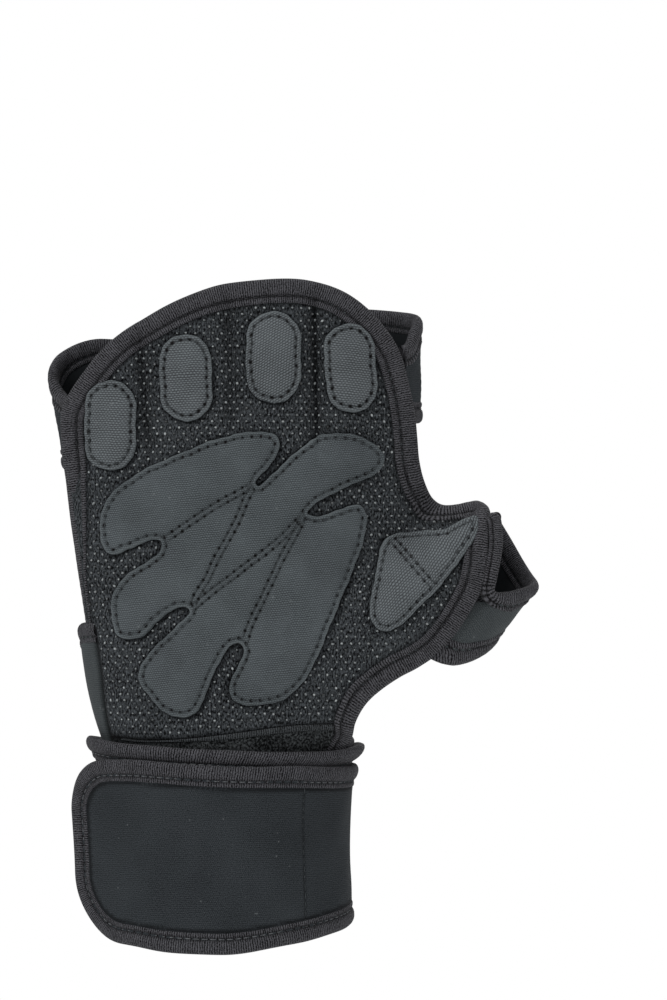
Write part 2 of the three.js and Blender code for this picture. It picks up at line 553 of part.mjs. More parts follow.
// Grip pads, each a sheet just over the palm face
const padFace = palmSheet(gap, gap + grip, palmCell, palmBox);
function barOutline({ x, z, width, height, lean }) {
  const r = width / 2;
  const straight = height / 2 - r;
  const turn = THREE.MathUtils.degToRad(lean);
  const arc = (centre, from) =>
    steps(from, from + Math.PI, 8).map((a) => new THREE.Vector2(r * Math.cos(a), centre + r * Math.sin(a)));
  return [...arc(straight, 0), ...arc(-straight, Math.PI)].map((p) => {
    p.rotateAround(new THREE.Vector2(), -turn);
    return new THREE.Vector3(x + p.x, 0, z + p.y);
  });
}
for (const pad of fingerPads)
  addPiece(pad.name, padFace.intersect(frontPrism(barOutline(pad))).subtract(palmBindingCut), padCloth);
addPiece("palm_pad", padFace.intersect(frontPrism(smoothLine(palmPad, 2.6, true))), padCloth);
const thumbPadSolid = padFace
  .intersect(frontPrism(smoothLine(thumbPad, 4, true)))
  .subtract(palmBindingCut);
addPiece("thumb_pad", thumbPadSolid, padCloth);

// Finger band over the back of the glove, with a bound upper and lower edge
const bandRows = steps(0, 1, 40);
const bandNormal = (u, z) => normalOf(bandFace, THREE.MathUtils.clamp(u, 0.01, 0.99), z, 0.01, 0.5, -1);
const bandEdge = (name) =>
  bandRows.map((u) => ({ point: bandFace(u, bandColumn(name, u)), normal: bandNormal(u, 120) }));
const bandTapes = [
  { name: "band_upper_binding", key: "top", sense: -1 },
  { name: "band_lower_binding", key: "low", sense: 1 },
];
const band = wallSheet(
  bandFace,
  bandRows.map((u) => THREE.MathUtils.clamp(u, 0.001, 0.999)),
  (u) => {
    const [low, top] = ["low", "top"].map((name) => (at) => bandColumn(name, at));
    const at = THREE.MathUtils.clamp(u, 0.02, 0.98);
    return steps(low(u) + tapeIn(bandFace, at, low, 0.01), top(u) - tapeIn(bandFace, at, top, 0.01), 4);
  },
  neoprene,
  { du: 0.001 },
);
for (const { name, key, sense } of bandTapes)
  addPiece(name, tapeSolid(bandEdge(key), { ...slimTape, sense }).subtract(palmBindingCut), ribTape);
const bandCut = tapeSolid(bandEdge("top"), { ...slimTape, sense: -1, grow: gap });
addPiece("finger_band", band.subtract(bandCut).subtract(palmBindingCut), plainCloth);

// Walls between the finger loops, from the palm's back to the band
const wallDip = 5; // the hollow of a wall's upper and lower edge
for (const seam of fingerSeams) {
  const midX = (seam.topX + seam.lowX) / 2;
  const station = steps(0, 1, 200).reduce((a, b) =>
    Math.abs(bandFace(b, 0).x - midX) < Math.abs(bandFace(a, 0).x - midX) ? b : a,
  );
  const rear = bandFace(station, 0).y - neoprene / 2 - gap;
  const low = bandColumn("low", station) + slimTape.width + 1;
  const high = bandColumn("top", station) - slimTape.width - 1;
  const side = (offset) =>
    steps(0, 1, 8).map((t) => {
      const dip = wallDip * 4 * t * (1 - t);
      return steps(low + dip * 0.6, high - dip * 0.6, 4).map((z) => {
        const share = (z - seam.lowZ) / (seam.topZ - seam.lowZ);
        const x = THREE.MathUtils.lerp(seam.lowX, seam.topX, share);
        const front = frontDepth(x, z) + neoprene * 1.15 + gap;
        return new THREE.Vector3(x + offset, THREE.MathUtils.lerp(front, rear, t), z);
      });
    });
  addPiece("finger_wall_" + seam.name, solidOf(sheetGeometry(side(-0.8), side(0.8))), plainCloth);
}

// Thumb loop with its bound inner edge, and the bound rim of the thumb hole
const thumbMiddle = (turn, out) => thumbFace(turn, out, -neoprene / 2);
const thumbNormal = (turn, out) => normalOf(thumbMiddle, turn, out, 0.5, 0.5, 1);
const rimEdge = steps(rimStations[0].turn, rimStations[rimStations.length - 1].turn, 45).map((turn) => {
  const out = column(rimStations, "turn", "out", turn);
  const front = 1 - smoothstep(turn, 30, 50);
  const width = THREE.MathUtils.lerp(slimTape.width, 3.5, front);
  return { point: thumbMiddle(turn, out), normal: thumbNormal(turn, out), width };
});
const rimTape = { ...slimTape, sense: 1 };
const rimBinding = tapeSolid(rimEdge, rimTape).subtract(palmBindingCut);
const rimCut = tapeSolid(rimEdge, { ...rimTape, grow: gap });
const strapTurns = steps(strapStations[0].turn, strapStations[strapStations.length - 1].turn, 26);
const innerEdge = strapTurns.map((turn) => {
  const out = column(strapStations, "turn", "inner", turn);
  return { point: thumbMiddle(turn, out), normal: thumbNormal(turn, out) };
});
const innerTape = { ...slimTape, sense: -1 };
const innerBinding = tapeSolid(innerEdge, innerTape).subtract(palmBindingCut).subtract(rimCut);
const innerCut = tapeSolid(innerEdge, { ...innerTape, grow: gap });
const strap = wallSheet(
  thumbMiddle,
  strapTurns,
  (turn) => {
    const [inner, outer] = ["inner", "outer"].map((name) => (at) => column(strapStations, "turn", name, at));
    return steps(
      inner(turn) + tapeIn(thumbMiddle, turn, inner, 1),
      outer(turn) - tapeIn(thumbMiddle, turn, outer, 1),
      3,
    );
  },
  neoprene,
);
addPiece("thumb_loop_rim_binding", rimBinding, ribTape);
addPiece("thumb_loop_inner_binding", innerBinding, ribTape);
addPiece("thumb_loop", strap.subtract(rimCut.add(innerCut).add(palmBindingCut)), plainCloth);

// Cuff: the glove's own layer under the wrap, with a bound upper edge
const cuffAngles = steps(cuffEdge[0].angle, cuffEdge[cuffEdge.length - 1].angle, 34);
const cuffMiddle = (angle, z) => cuffFace(angle, z, -neoprene / 2);
const cuffNormal = (angle, z) => normalOf(cuffMiddle, angle, z, 0.5, 0.5, 1);
const cuffTopAt = (angle) => column(cuffEdge, "angle", "top", angle);
const cuffTop = cuffAngles.map((angle) => ({
  point: cuffMiddle(angle, cuffTopAt(angle)),
  normal: cuffNormal(angle, cuffTopAt(angle)),
}));
const cuffTape = { ...slimTape, sense: -1 };
const cuffBinding = tapeSolid(cuffTop, cuffTape).subtract(palmBindingCut);
const cuffSheet = wallSheet(
  cuffMiddle,
  cuffAngles,
  (angle) => steps(cuffFoot, cuffTopAt(angle) - tapeIn(cuffMiddle, angle, cuffTopAt, 1), 6),
  neoprene,
);
const leftClear = frontPrism([
  ...smoothLine(palmSeam, 7).map((p) => ({ x: p.x - gap, z: p.z })),
  ...heelLeft.map((p) => ({ x: p.x - gap, z: p.z })),
  { x: 0, z: -40 },
  { x: 0, z: 58.5 },
], { near: 60, far: 3 });
const rightClear = frontPrism(
  [{ x: -1, z: -40 }, { x: 60, z: -40 }, { x: 60, z: 58.5 }, { x: -1, z: 58.5 }],
  { near: 60, far: -3 },
);
const seamClear = leftClear.add(rightClear);
addPiece("cuff_binding", cuffBinding.subtract(seamClear), ribTape);
addPiece("cuff", cuffSheet.subtract(seamClear).subtract(palmBindingCut), plainCloth);

// Wrap: one long strip with a rounded end, bound all round but for its sewn end
const topAt = (turn) => column(wrapStations, "turn", "top", turn);
const lowAt = (turn) => column(wrapStations, "turn", "low", turn);
const cornerDrop = (turn, round) => {
  const into = THREE.MathUtils.clamp((turn - flap.end) * flap.mmPerTurn + round, 0, round);
  return round - Math.sqrt(Math.max(0, round * round - into * into));
};
const roundedTurns = (round, count) =>
  steps(0, Math.PI / 2, count).map((a) => flap.end - (round * (1 - Math.sin(a))) / flap.mmPerTurn);
const windings = steps(0, flap.end - flap.lowRound / flap.mmPerTurn, 54);
const upperTurns = [
  ...windings.filter((t) => t < flap.end - flap.topRound / flap.mmPerTurn - 3),
  ...roundedTurns(flap.topRound, 5),
];
const lowerTurns = [...windings.slice(0, -1), ...roundedTurns(flap.lowRound, 6)];
const onWrap = (turn, z, inward) => ({
  point: wrapFace(turn, z),
  normal: normalOf(wrapFace, turn, z + (inward * slimTape.width) / 2, 0.5, 0.5, -1),
});
const wrapEdge = [
  ...upperTurns.map((turn) => onWrap(turn, topAt(turn) - cornerDrop(turn, flap.topRound), -1)),
  ...lowerTurns.map((turn) => onWrap(turn, lowAt(turn) + cornerDrop(turn, flap.lowRound), 1)).reverse(),
];
const wrapTape = { ...slimTape, thickness: 2.6, sense: -1 };
addPiece("wrap_binding", tapeSolid(wrapEdge, wrapTape), ribTape);
const seamIn = slimTape.width + gap + 0.5;
const slack = 0.6; // the slanted end draws the tape this much further in
const endIn = (seamIn + slack) / flap.mmPerTurn;
const bodyEnd = flap.end - endIn;
const bodyDrop = (turn, round) => cornerDrop(turn + endIn, round - seamIn);
const bodyCorner = (flap.lowRound - seamIn) / flap.mmPerTurn;
const bodyTurns = [
  ...windings.filter((turn) => turn < bodyEnd - bodyCorner - 1),
  ...steps(0, Math.PI / 2, 7).map((a) => bodyEnd - bodyCorner * (1 - Math.sin(a))),
];
const wrapBody = wallSheet(
  wrapFace,
  bodyTurns,
  (turn) => {
    const top = topAt(turn) - seamIn - bodyDrop(turn, flap.topRound);
    const low = lowAt(turn) + seamIn + bodyDrop(turn, flap.lowRound);
    return steps(low, top, 3);
  },
  neoprene,
);
addPiece("wrist_wrap", wrapBody, plainCloth);

export default glove;
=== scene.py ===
# A fingerless training glove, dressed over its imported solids.
# Lengths in the tables are millimetres, with +Z up from the wrap to the grip pads,
# +X to the thumb loop's side and the pads at -Y.
import math

import bpy
import numpy as np
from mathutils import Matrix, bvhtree, geometry


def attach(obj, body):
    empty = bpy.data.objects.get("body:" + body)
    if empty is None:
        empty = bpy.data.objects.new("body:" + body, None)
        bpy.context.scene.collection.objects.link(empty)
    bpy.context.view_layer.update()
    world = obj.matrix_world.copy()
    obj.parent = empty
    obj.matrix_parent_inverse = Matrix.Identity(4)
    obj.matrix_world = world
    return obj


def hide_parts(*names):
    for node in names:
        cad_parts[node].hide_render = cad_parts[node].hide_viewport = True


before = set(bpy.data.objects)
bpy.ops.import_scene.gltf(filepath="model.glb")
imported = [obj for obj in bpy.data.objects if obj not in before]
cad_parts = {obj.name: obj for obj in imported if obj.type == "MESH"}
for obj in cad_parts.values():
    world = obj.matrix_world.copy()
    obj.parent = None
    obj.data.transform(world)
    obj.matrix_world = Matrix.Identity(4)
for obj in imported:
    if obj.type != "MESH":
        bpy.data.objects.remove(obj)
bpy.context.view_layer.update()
print("solids loaded:", len(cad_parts))

cloth = {"neoprene": 1.8, "tapeWidth": 6.6, "tapeWidest": 7.8, "slimTape": 5.6, "trimIn": 1.5}
sections = {
    "z": (-32, -5, 12, 21, 28, 40, 50, 60, 72, 85, 100, 118, 135, 155),
    "left": (
        -28.4, -27.4, -27.7, -29.4, -32.3, -35.9, -37.6, -38.6, -40.0, -41.5, -43.0, -45.0, -46.0, -46.0),
    "right": (27.6, 26.6, 26.9, 28.8, 35.2, 46.0, 50.0, 52.0, 52.0, 52.0, 52.5, 53.0, 53.0, 53.0),
    "front": (21.6, 21.3, 21.3, 21.7, 22.3, 22.8, 22.8, 22.3, 21.2, 20.0, 18.8, 16.5, 14.0, 12.0),
    "back": (21.6, 21.3, 21.3, 21.3, 21.0, 20.0, 19.0, 18.0, 16.5, 15.0, 13.0, 11.0, 10.0, 9.0),
    "edge": (0, 0, 0, 0, 0, 0, 0.3, 1.0, 2.0, 3.5, 5.0, 5.5, 5.0, 4.0),
    "power": (2, 2, 2, 2, 2, 2, 2.1, 2.2, 2.3, 2.4, 2.6, 2.6, 2.6, 2.6),
    "round": (0.5, 0.5, 0.5, 0.5, 0.5, 0.5, 0.5, 0.55, 0.6, 0.75, 1, 1, 1, 1),
}
thumb = {
    "base": (75.9, -3.0, 80.8),
    "along": (0.8, 0.0, 0.6),
    "across": (0.6, 0.0, -0.8),
    "radius": 13.9,
    "taper": 0.27,
    "most": 22.5,
    "flatten": 0.85,
    "reach": 1.6,
    "roundness": 2.4,
    "fade": (-78, -42),
    "sunk": 20,
}
# each seam's crease sets the crease's depth and the strength of the painted shade in it
fingerSeams = {
    "little_ring": {"top": (-21.5, 131), "low": (-19.5, 106), "crease": 0.8},
    "ring_middle": {"top": (1.6, 141), "low": (2.6, 113), "crease": 0.45},
    "middle_index": {"top": (24.0, 141), "low": (24.6, 109), "crease": 1.0},
}
seamDip = {
    "depth": 1.3, "width": 3.4, "crease": 1.5, "creaseWidth": 1.15,
    "beyond": 0.4, "start": (-10, 4), "end": 8,
}
formBlend = 3.5


# Curves and surfaces

def monotone(xs, ys):
    # a smooth line through a table that never overshoots its values
    xs = np.asarray(xs, float)
    ys = np.asarray(ys, float)
    if xs[-1] < xs[0]:
        xs, ys = xs[::-1], ys[::-1]
    step = np.diff(xs)
    slope = np.diff(ys) / step
    before, after = slope[:-1], slope[1:]
    least = 3 * np.minimum(abs(before), abs(after))
    lean = np.sign(after) * np.minimum(abs(before + after) / 2, least)
    tangent = np.zeros(len(xs))
    tangent[1:-1] = np.where(before * after > 0, lean, 0)

    def at(x):
        x = np.clip(np.asarray(x, float), xs[0], xs[-1])
        i = np.clip(np.searchsorted(xs, x, side="right") - 1, 0, len(step) - 1)
        t = (x - xs[i]) / step[i]
        t2 = t * t
        t3 = t2 * t
        ends = (2 * t3 - 3 * t2 + 1) * ys[i] + (3 * t2 - 2 * t3) * ys[i + 1]
        return ends + step[i] * ((t3 - 2 * t2 + t) * tangent[i] + (t3 - t2) * tangent[i + 1])

    return at


def smoothLine(points, step, closed=False, perPart=24):
    # a rounded line through points, then evenly spaced along its length
    p = np.asarray(points, float)
    if closed:
        p = np.vstack([p[-1], p, p[0], p[1]])
    else:
        p = np.vstack([2 * p[0] - p[1], p, 2 * p[-1] - p[-2]])
    t = np.linspace(0, 1, perPart, endpoint=False)[:, None]
    parts = []
    for a, b, c, d in zip(p, p[1:], p[2:], p[3:]):
        ab, bc, cd = (max(np.linalg.norm(v) ** 0.5, 1e-4) for v in (b - a, c - b, d - c))
        m1 = ((b - a) / ab - (c - a) / (ab + bc) + (c - b) / bc) * bc
        m2 = ((c - b) / bc - (d - b) / (bc + cd) + (d - c) / cd) * bc
        parts.append(b + m1 * t + (3 * (c - b) - 2 * m1 - m2) * t**2 + (2 * (b - c) + m1 + m2) * t**3)
    line = np.vstack(parts + [p[-2][None]])
    return spaced(line, step, closed)


def spaced(line, step, closed=False):
    gone = wayAlong(line)
    count = max(2, int(round(gone[-1] / step)))
    at = np.linspace(0, gone[-1], count + 1)
    if closed:
        at = at[:-1]
    return np.stack([np.interp(at, gone, line[:, k]) for k in range(line.shape[1])], 1)


def smoothstep(x, low, high):
    t = np.clip((x - low) / (high - low), 0, 1)
    return t * t * (3 - 2 * t)


def bell(x, width):
    return np.exp(-((x / width) ** 2))


def unit(vectors):
    return vectors / np.maximum(np.linalg.norm(vectors, axis=-1, keepdims=True), 1e-9)


def wayAlong(line):
    # the length gone at each point of a line
    return np.concatenate([[0], np.cumsum(np.linalg.norm(np.diff(line, axis=0), axis=1))])


innerAt = {name: monotone(sections["z"], sections[name]) for name in sections if name != "z"}
thumbBase, thumbAlong, thumbAcross = (np.array(thumb[k]) for k in ("base", "along", "across"))


def thumbRadius(out):
    return np.minimum(thumb["most"], thumb["radius"] + thumb["taper"] * np.maximum(0, -out))


def seamPull(x, z):
    # how far the loops' walls pull the palm in: a wide hollow and a sharp crease
    wide, sharp = 0, 0
    rise, beyond = seamDip["start"], seamDip["beyond"]
    for s in fingerSeams.values():
        (topX, topZ), (lowX, lowZ) = s["top"], s["low"]
        t = np.clip((z - lowZ) / (topZ - lowZ), -beyond, 1 + beyond)
        off = x - (lowX + (topX - lowX) * t)
        strength = smoothstep(z, lowZ + rise[0], lowZ + rise[1])
        strength = strength * (1 - smoothstep(z, topZ, topZ + seamDip["end"]))
        wide = wide + strength * bell(off, seamDip["width"])
        sharp = sharp + s["crease"] * strength * bell(off, seamDip["creaseWidth"])
    return wide, sharp


def frontDepth(x, z):
    # depth of the palm's outer face in the front view
    inner = {name: f(z) for name, f in innerAt.items()}
    centre = (inner["left"] + inner["right"]) / 2
    halfWide = (inner["right"] - inner["left"]) / 2
    share = abs(x - centre) / halfWide
    crown = np.maximum(0, 1 - share ** inner["power"]) ** inner["round"]
    past = np.maximum(0, share - 1) * halfWide
    palm = -(inner["edge"] + (inner["front"] - inner["edge"]) * crown) + past

    dx, dz = x - thumbBase[0], z - thumbBase[2]
    out = dx * thumbAlong[0] + dz * thumbAlong[2]
    radius = thumbRadius(out)
    side = abs(dx * thumbAcross[0] + dz * thumbAcross[2]) / radius
    rise = (1 - np.minimum(side, thumb["reach"]) ** thumb["roundness"]) * thumb["flatten"] * radius
    fade = smoothstep(out, *thumb["fade"])
    bulge = thumbBase[1] - rise * fade + (1 - fade) * thumb["sunk"]

    wide, sharp = seamPull(x, z)
    joined = -formBlend * np.log(np.exp(-palm / formBlend) + np.exp(-bulge / formBlend))
    return joined + seamDip["depth"] * wide + seamDip["crease"] * sharp


class Chart:
    # a flat plan in millimetres and the surface that it lies on; flat gives the cut cloth's place
    def __init__(self, face, sense, flat=None):
        self.face = face
        self.sense = sense
        self.flat = flat or (lambda a, b: (a, b))

    def normal(self, a, b):
        e = 0.35
        alongA = self.face(a + e, b) - self.face(a - e, b)
        alongB = self.face(a, b + e) - self.face(a, b - e)
        return unit(np.cross(alongA, alongB) * self.sense)

    def lifted(self, a, b, height):
        a, b = np.asarray(a, float), np.asarray(b, float)
        return self.face(a, b) + self.normal(a, b) * np.asarray(height)[..., None]


def palmFace(x, z):
    return np.stack([x, frontDepth(x, z), z], -1)


def palmFlatTables():
    # arc lengths over the palm, so that dots and weave keep their size on its slopes
    originX, originZ = 5, 60
    zs = np.arange(-30, 160, 1.0)
    xs = np.arange(-52, 80, 1.0)
    steepest = 2.5
    y = np.clip(frontDepth(*np.meshgrid(xs, zs)), -40, 3)
    along = np.minimum(np.hypot(np.diff(y, axis=1), 1.0), steepest)
    u = np.concatenate([np.zeros((len(zs), 1)), np.cumsum(along, axis=1)], 1)
    u -= u[:, [int(originX - xs[0])]]
    v = wayAlong(np.stack([zs, frontDepth(np.full(len(zs), float(originX)), zs)], 1))
    return xs, zs, u, v - np.interp(originZ, zs, v)


flatX, flatZ, flatU, flatV = palmFlatTables()


def palmFlat(x, z):
    i = np.clip(z - flatZ[0], 0, len(flatZ) - 1.001)
    j = np.clip(x - flatX[0], 0, len(flatX) - 1.001)
    i0, j0 = i.astype(int), j.astype(int)
    fi, fj = i - i0, j - j0
    low = flatU[i0, j0] * (1 - fj) + flatU[i0, j0 + 1] * fj
    high = flatU[i0 + 1, j0] * (1 - fj) + flatU[i0 + 1, j0 + 1] * fj
    return low * (1 - fi) + high * fi, np.interp(z, flatZ, flatV)


palmChart = Chart(palmFace, 1, palmFlat)


def cuffFace(angle, z, lift):
    a = np.radians(angle)
    left, right = innerAt["left"](z), innerAt["right"](z)
    depth = np.where(np.sin(a) > 0, innerAt["back"](z), innerAt["front"](z))
    x = (left + right) / 2 + ((right - left) / 2 + lift) * np.cos(a)
    return np.stack([x, (depth + lift) * np.sin(a), z + 0 * x], -1)


def thumbFace(turn, out, lift):
    a = np.radians(turn)
    radius = thumbRadius(out) + lift
    p = thumbBase + thumbAlong * np.asarray(out)[..., None] + thumbAcross * (radius * np.sin(a))[..., None]
    p[..., 1] -= thumb["flatten"] * radius * np.cos(a)
    return p


# Meshes

def makeObject(name, verts, faces, uv=None, marks=None, smoothAngle=50):
    mesh = bpy.data.meshes.new(name)
    mesh.from_pydata((np.asarray(verts) * 0.001).tolist(), [], [list(map(int, f)) for f in faces])
    corner = np.zeros(len(mesh.loops), dtype=np.int32)
    mesh.loops.foreach_get("vertex_index", corner)
    if uv is not None:
        layer = mesh.uv_layers.new(name="clothPlan")
        layer.uv.foreach_set("vector", np.asarray(uv, np.float32)[corner].ravel())
    for markName, values in (marks or {}).items():
        attribute = mesh.attributes.new(markName, "FLOAT", "POINT")
        attribute.data.foreach_set("value", np.asarray(values, np.float32))
    mesh.polygons.foreach_set("use_smooth", np.ones(len(mesh.polygons), dtype=bool))
    mesh.set_sharp_from_angle(angle=math.radians(smoothAngle))
    mesh.update()
    obj = bpy.data.objects.new(name, mesh)
    bpy.context.collection.objects.link(obj)
    return obj


def dress(obj, material, nodes=()):
    obj.data.materials.clear()
    obj.data.materials.append(material)
    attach(obj, "root")
    if nodes:
        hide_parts(*nodes)
    return obj


def insideOf(points, outline):
    # which points lie inside a closed line
    x, y = points[:, 0][:, None], points[:, 1][:, None]
    x1, y1 = outline[:, 0], outline[:, 1]
    x2, y2 = np.roll(x1, -1), np.roll(y1, -1)
    crosses = (y1 > y) != (y2 > y)
    at = (x2 - x1) * (y - y1) / np.where(y2 == y1, 1e-9, y2 - y1) + x1
    return (crosses & (x < at)).sum(1) % 2 == 1


def distanceTo(points, line, closed=True):
    # distance of each point from a line, and how far along the line its nearest place is
    a = line if closed else line[:-1]
    b = np.roll(line, -1, axis=0) if closed else line[1:]
    run = b - a
    length = np.maximum(np.linalg.norm(run, axis=1), 1e-9)
    start = np.concatenate([[0], np.cumsum(length)[:-1]])
    best = np.full(len(points), 1e9)
    along = np.zeros(len(points))
    for k in range(0, len(points), 4000):
        p = points[k : k + 4000, None, :] - a[None]
        t = np.clip((p * run).sum(2) / length**2, 0, 1)
        d = np.linalg.norm(p - t[..., None] * run, axis=2)
        i = d.argmin(1)
        rows = np.arange(len(d))
        best[k : k + 4000] = d[rows, i]
        along[k : k + 4000] = start[i] + t[rows, i] * length[i]
    return best, along


def spacedOut(points, least):
    # thins points that would crowd each other
    return points[np.unique(np.round(points / least).astype(int), axis=0, return_index=True)[1]]


def triangled(points, count):
    # triangles over points of a plan whose first ones, by their count, are its outline
    loop = [(i, (i + 1) % count) for i in range(count)]
    made = geometry.delaunay_2d_cdt([tuple(p) for p in points], loop, [], 1, 1e-5)
    return np.array([tuple(v) for v in made[0]]), np.array([f for f in made[2] if len(f) == 3])


def clothMesh(name, chart, outline, cell, front, back, marksOf=None, extra=None, clearOf=None, grain=0):
    # cloth cut to an outline in its chart, with a front, a rim and a back, which may be one height
    low, high = outline.min(0), outline.max(0)
    rows = np.arange(low[1], high[1], cell * 0.866)
    cols = np.arange(low[0], high[0] + cell, cell)
    grid = np.array([(c + i % 2 * cell / 2, r) for i, r in enumerate(rows) for c in cols])
    grid = grid[insideOf(grid, outline)]
    grid = grid[distanceTo(grid, outline)[0] > cell * 0.55]
    if clearOf is not None:
        grid = grid[clearOf(grid)]
    if extra is not None:
        extra = spacedOut(extra[insideOf(extra, outline)], 0.12)
        grid = np.vstack([grid, extra[distanceTo(extra, outline)[0] > 0.15]])
    points = np.vstack([outline, grid])
    plan, faces = triangled(points, len(outline))
    a, b = plan[:, 0], plan[:, 1]
    edgeAway = distanceTo(plan, outline)[0]
    outer = chart.lifted(a, b, front(plan, edgeAway))
    n = len(plan)
    inner = chart.lifted(a, b, back(plan, edgeAway) if callable(back) else np.full(n, back))
    corner = np.concatenate([faces[:, [0, 1]], faces[:, [1, 2]], faces[:, [2, 0]]])
    where, uses = np.unique(np.sort(corner, 1), axis=0, return_inverse=True, return_counts=True)[1:]
    rim = corner[uses[where.ravel()] == 1]
    if chart.sense < 0:
        faces = faces[:, ::-1]
        rim = rim[:, ::-1]
    allFaces = faces.tolist() + (faces[:, ::-1] + n).tolist()
    allFaces += [(q, p, p + n, q + n) for p, q in rim]
    u, v = chart.flat(a, b)
    c, s = math.cos(math.radians(grain)), math.sin(math.radians(grain))
    uv = np.stack([u * c + v * s, v * c - u * s], 1)
    marks = marksOf(plan, edgeAway) if marksOf else {}
    marks = {k: np.concatenate([m, m]) for k, m in marks.items()}
    marks["outside"] = np.concatenate([np.ones(n), np.zeros(n)])

    x, y = chart.flat(outline[:, 0], outline[:, 1])
    return makeObject(name, np.vstack([outer, inner]), allFaces, np.vstack([uv, uv]), marks)


# a tape's section from its sewn edge to the fold, as shares of its width and of half its thickness
tapeFront = (
    (1.0, 0.56), (0.985, 0.74), (0.93, 0.81), (0.85, 0.80), (0.785, 0.73), (0.745, 0.60), (0.715, 0.555),
    (0.68, 0.61), (0.63, 0.80), (0.55, 0.93), (0.43, 1.0), (0.29, 0.98), (0.17, 0.86), (0.08, 0.64),
    (0.02, 0.32),
)
groovePoint = 6


def inwardOf(line, closed=False, sense=1, soften=0):
    # unit direction into the cloth at each point of a plan's edge line
    if closed:
        run = np.roll(line, -1, axis=0) - np.roll(line, 1, axis=0)
    else:
        run = np.gradient(line, axis=0)
    side = unit(np.stack([run[:, 1], -run[:, 0]], 1) * sense)
    for _ in range(soften):
        if closed:
            side = (np.roll(side, 1, axis=0) + side + np.roll(side, -1, axis=0)) / 3
        else:
            padded = np.vstack([side[:1], side, side[-1:]])
            side = (padded[:-2] + padded[1:-1] + padded[2:]) / 3
    return unit(side)


def leanedBack(chart, line, side, heights, share, turned):
    # a tape that rolls off is set at its inner edge and leans back until it looks as narrow
    pivot = line + side * turned["seen"][:, None]
    root = chart.face(pivot[:, 0], pivot[:, 1])
    outward = np.stack([-side[:, 0], 0 * side[:, 0], -side[:, 1]], 1)
    lean = np.arccos(np.clip(turned["seen"] / turned["full"], 0, 1))[:, None]
    back = np.array([0, 1.0, 0])
    along = np.cos(lean) * outward + np.sin(lean) * back
    normal = np.sin(lean) * outward - np.cos(lean) * back
    reach = (1 - share)[None, :, None] * turned["full"][:, None, None]
    return root[:, None] + along[:, None] * reach + normal[:, None] * heights[..., None]


def tapeMesh(name, chart, line, side, width, thickness, drop, turned=None, shade=0.05):
    # a knit tape folded over the cloth's edge and stitched down in a groove; width may vary
    pitch, wander = 2.3, 0.12
    count = len(line)
    gone = wayAlong(line)
    width = np.broadcast_to(np.asarray(width, float), (count,))
    frontSide = np.array(tapeFront)
    loop = np.vstack([frontSide, [(0.0, 0.0)], frontSide[::-1] * (1, -1)])
    share, height = loop[:, 0], loop[:, 1]
    wave = np.cos(2 * math.pi * gone / pitch)
    slow = wander * (np.sin(gone / 7.3 + 1.1) + 0.6 * np.sin(gone / 2.9 + 0.4))
    grooveAt = tapeFront[groovePoint][0]
    places = ((grooveAt, 0.05), (0.93, 0.09), (0.35, 0.22))
    grooved, flange, rolled = (bell(share - at, wide) * np.sign(height) for at, wide in places)
    n = height[None] * thickness / 2 + wave[:, None] * (0.16 * grooved + 0.05 * flange + 0.03 * rolled)[None]
    n = n + 0.35 * slow[:, None] * rolled[None]
    s = share[None] * width[:, None] + slow[:, None] * (1 - share[None]) * 0.8
    a = line[:, 0][:, None] + side[:, 0][:, None] * s
    b = line[:, 1][:, None] + side[:, 1][:, None] * s
    verts = chart.lifted(a, b, n - drop)
    if turned is not None:
        blend = turned["blend"][:, None, None]
        verts = verts * (1 - blend) + leanedBack(chart, line, side, n - drop, share, turned) * blend
    sides = len(loop)
    i = np.arange(count - 1)[:, None]
    j = np.arange(sides)[None]
    j2 = (j + 1) % sides
    here, onward = i * sides, (i + 1) * sides
    quads = np.stack([here + j, here + j2, onward + j2, onward + j], -1).reshape(-1, 4)
    probe = verts.reshape(-1, 3)[quads]
    middle = probe.mean(1) - verts.mean(1)[(quads[:, 0] // sides)]
    facing = np.cross(probe[:, 1] - probe[:, 0], probe[:, 2] - probe[:, 0])
    ends = [list(range(sides)), list(range((count - 1) * sides, count * sides))]
    if (facing * middle).sum() < 0:
        quads = quads[:, ::-1]
        ends[0].reverse()
    else:
        ends[1].reverse()
    around = wayAlong(np.stack([share * width.mean(), height * thickness / 2], 1))
    uv = np.stack([np.repeat(gone, sides), np.tile(around, count)], 1)
    # painted shade along the stitch groove
    marks = {"groove": np.tile(bell(share - grooveAt, shade), count)}
    obj = makeObject(name, verts.reshape(-1, 3), quads.tolist() + ends, uv, marks, 60)
    # the groove's lowest points on the front and the back, for the thread
    face, rear = verts[:, groovePoint], verts[:, sides - 1 - groovePoint]
    normal = unit(face - rear)
    return obj, [threadRun(face, normal), threadRun(rear, -normal)]


def threadRun(points, normals, lift=0.1, pitch=2.3):
    # needle holes along a line, evenly spaced, with the direction that the thread lies up in
    gone = wayAlong(points)
    at = np.linspace(0, gone[-1], max(2, int(round(gone[-1] / pitch)) + 1))
    p = np.stack([np.interp(at, gone, points[:, k]) for k in range(3)], 1)
    n = np.stack([np.interp(at, gone, normals[:, k]) for k in range(3)], 1)
    n = unit(n)
    return p + n * lift, n


def ringFaces(start, rings, sides):
    # faces between rings of points that follow each other
    faces = []
    for low in range(start, start + rings * sides, sides):
        for k in range(sides):
            k2 = (k + 1) % sides
            faces.append((low + k, low + k2, low + sides + k2, low + sides + k))
    return faces


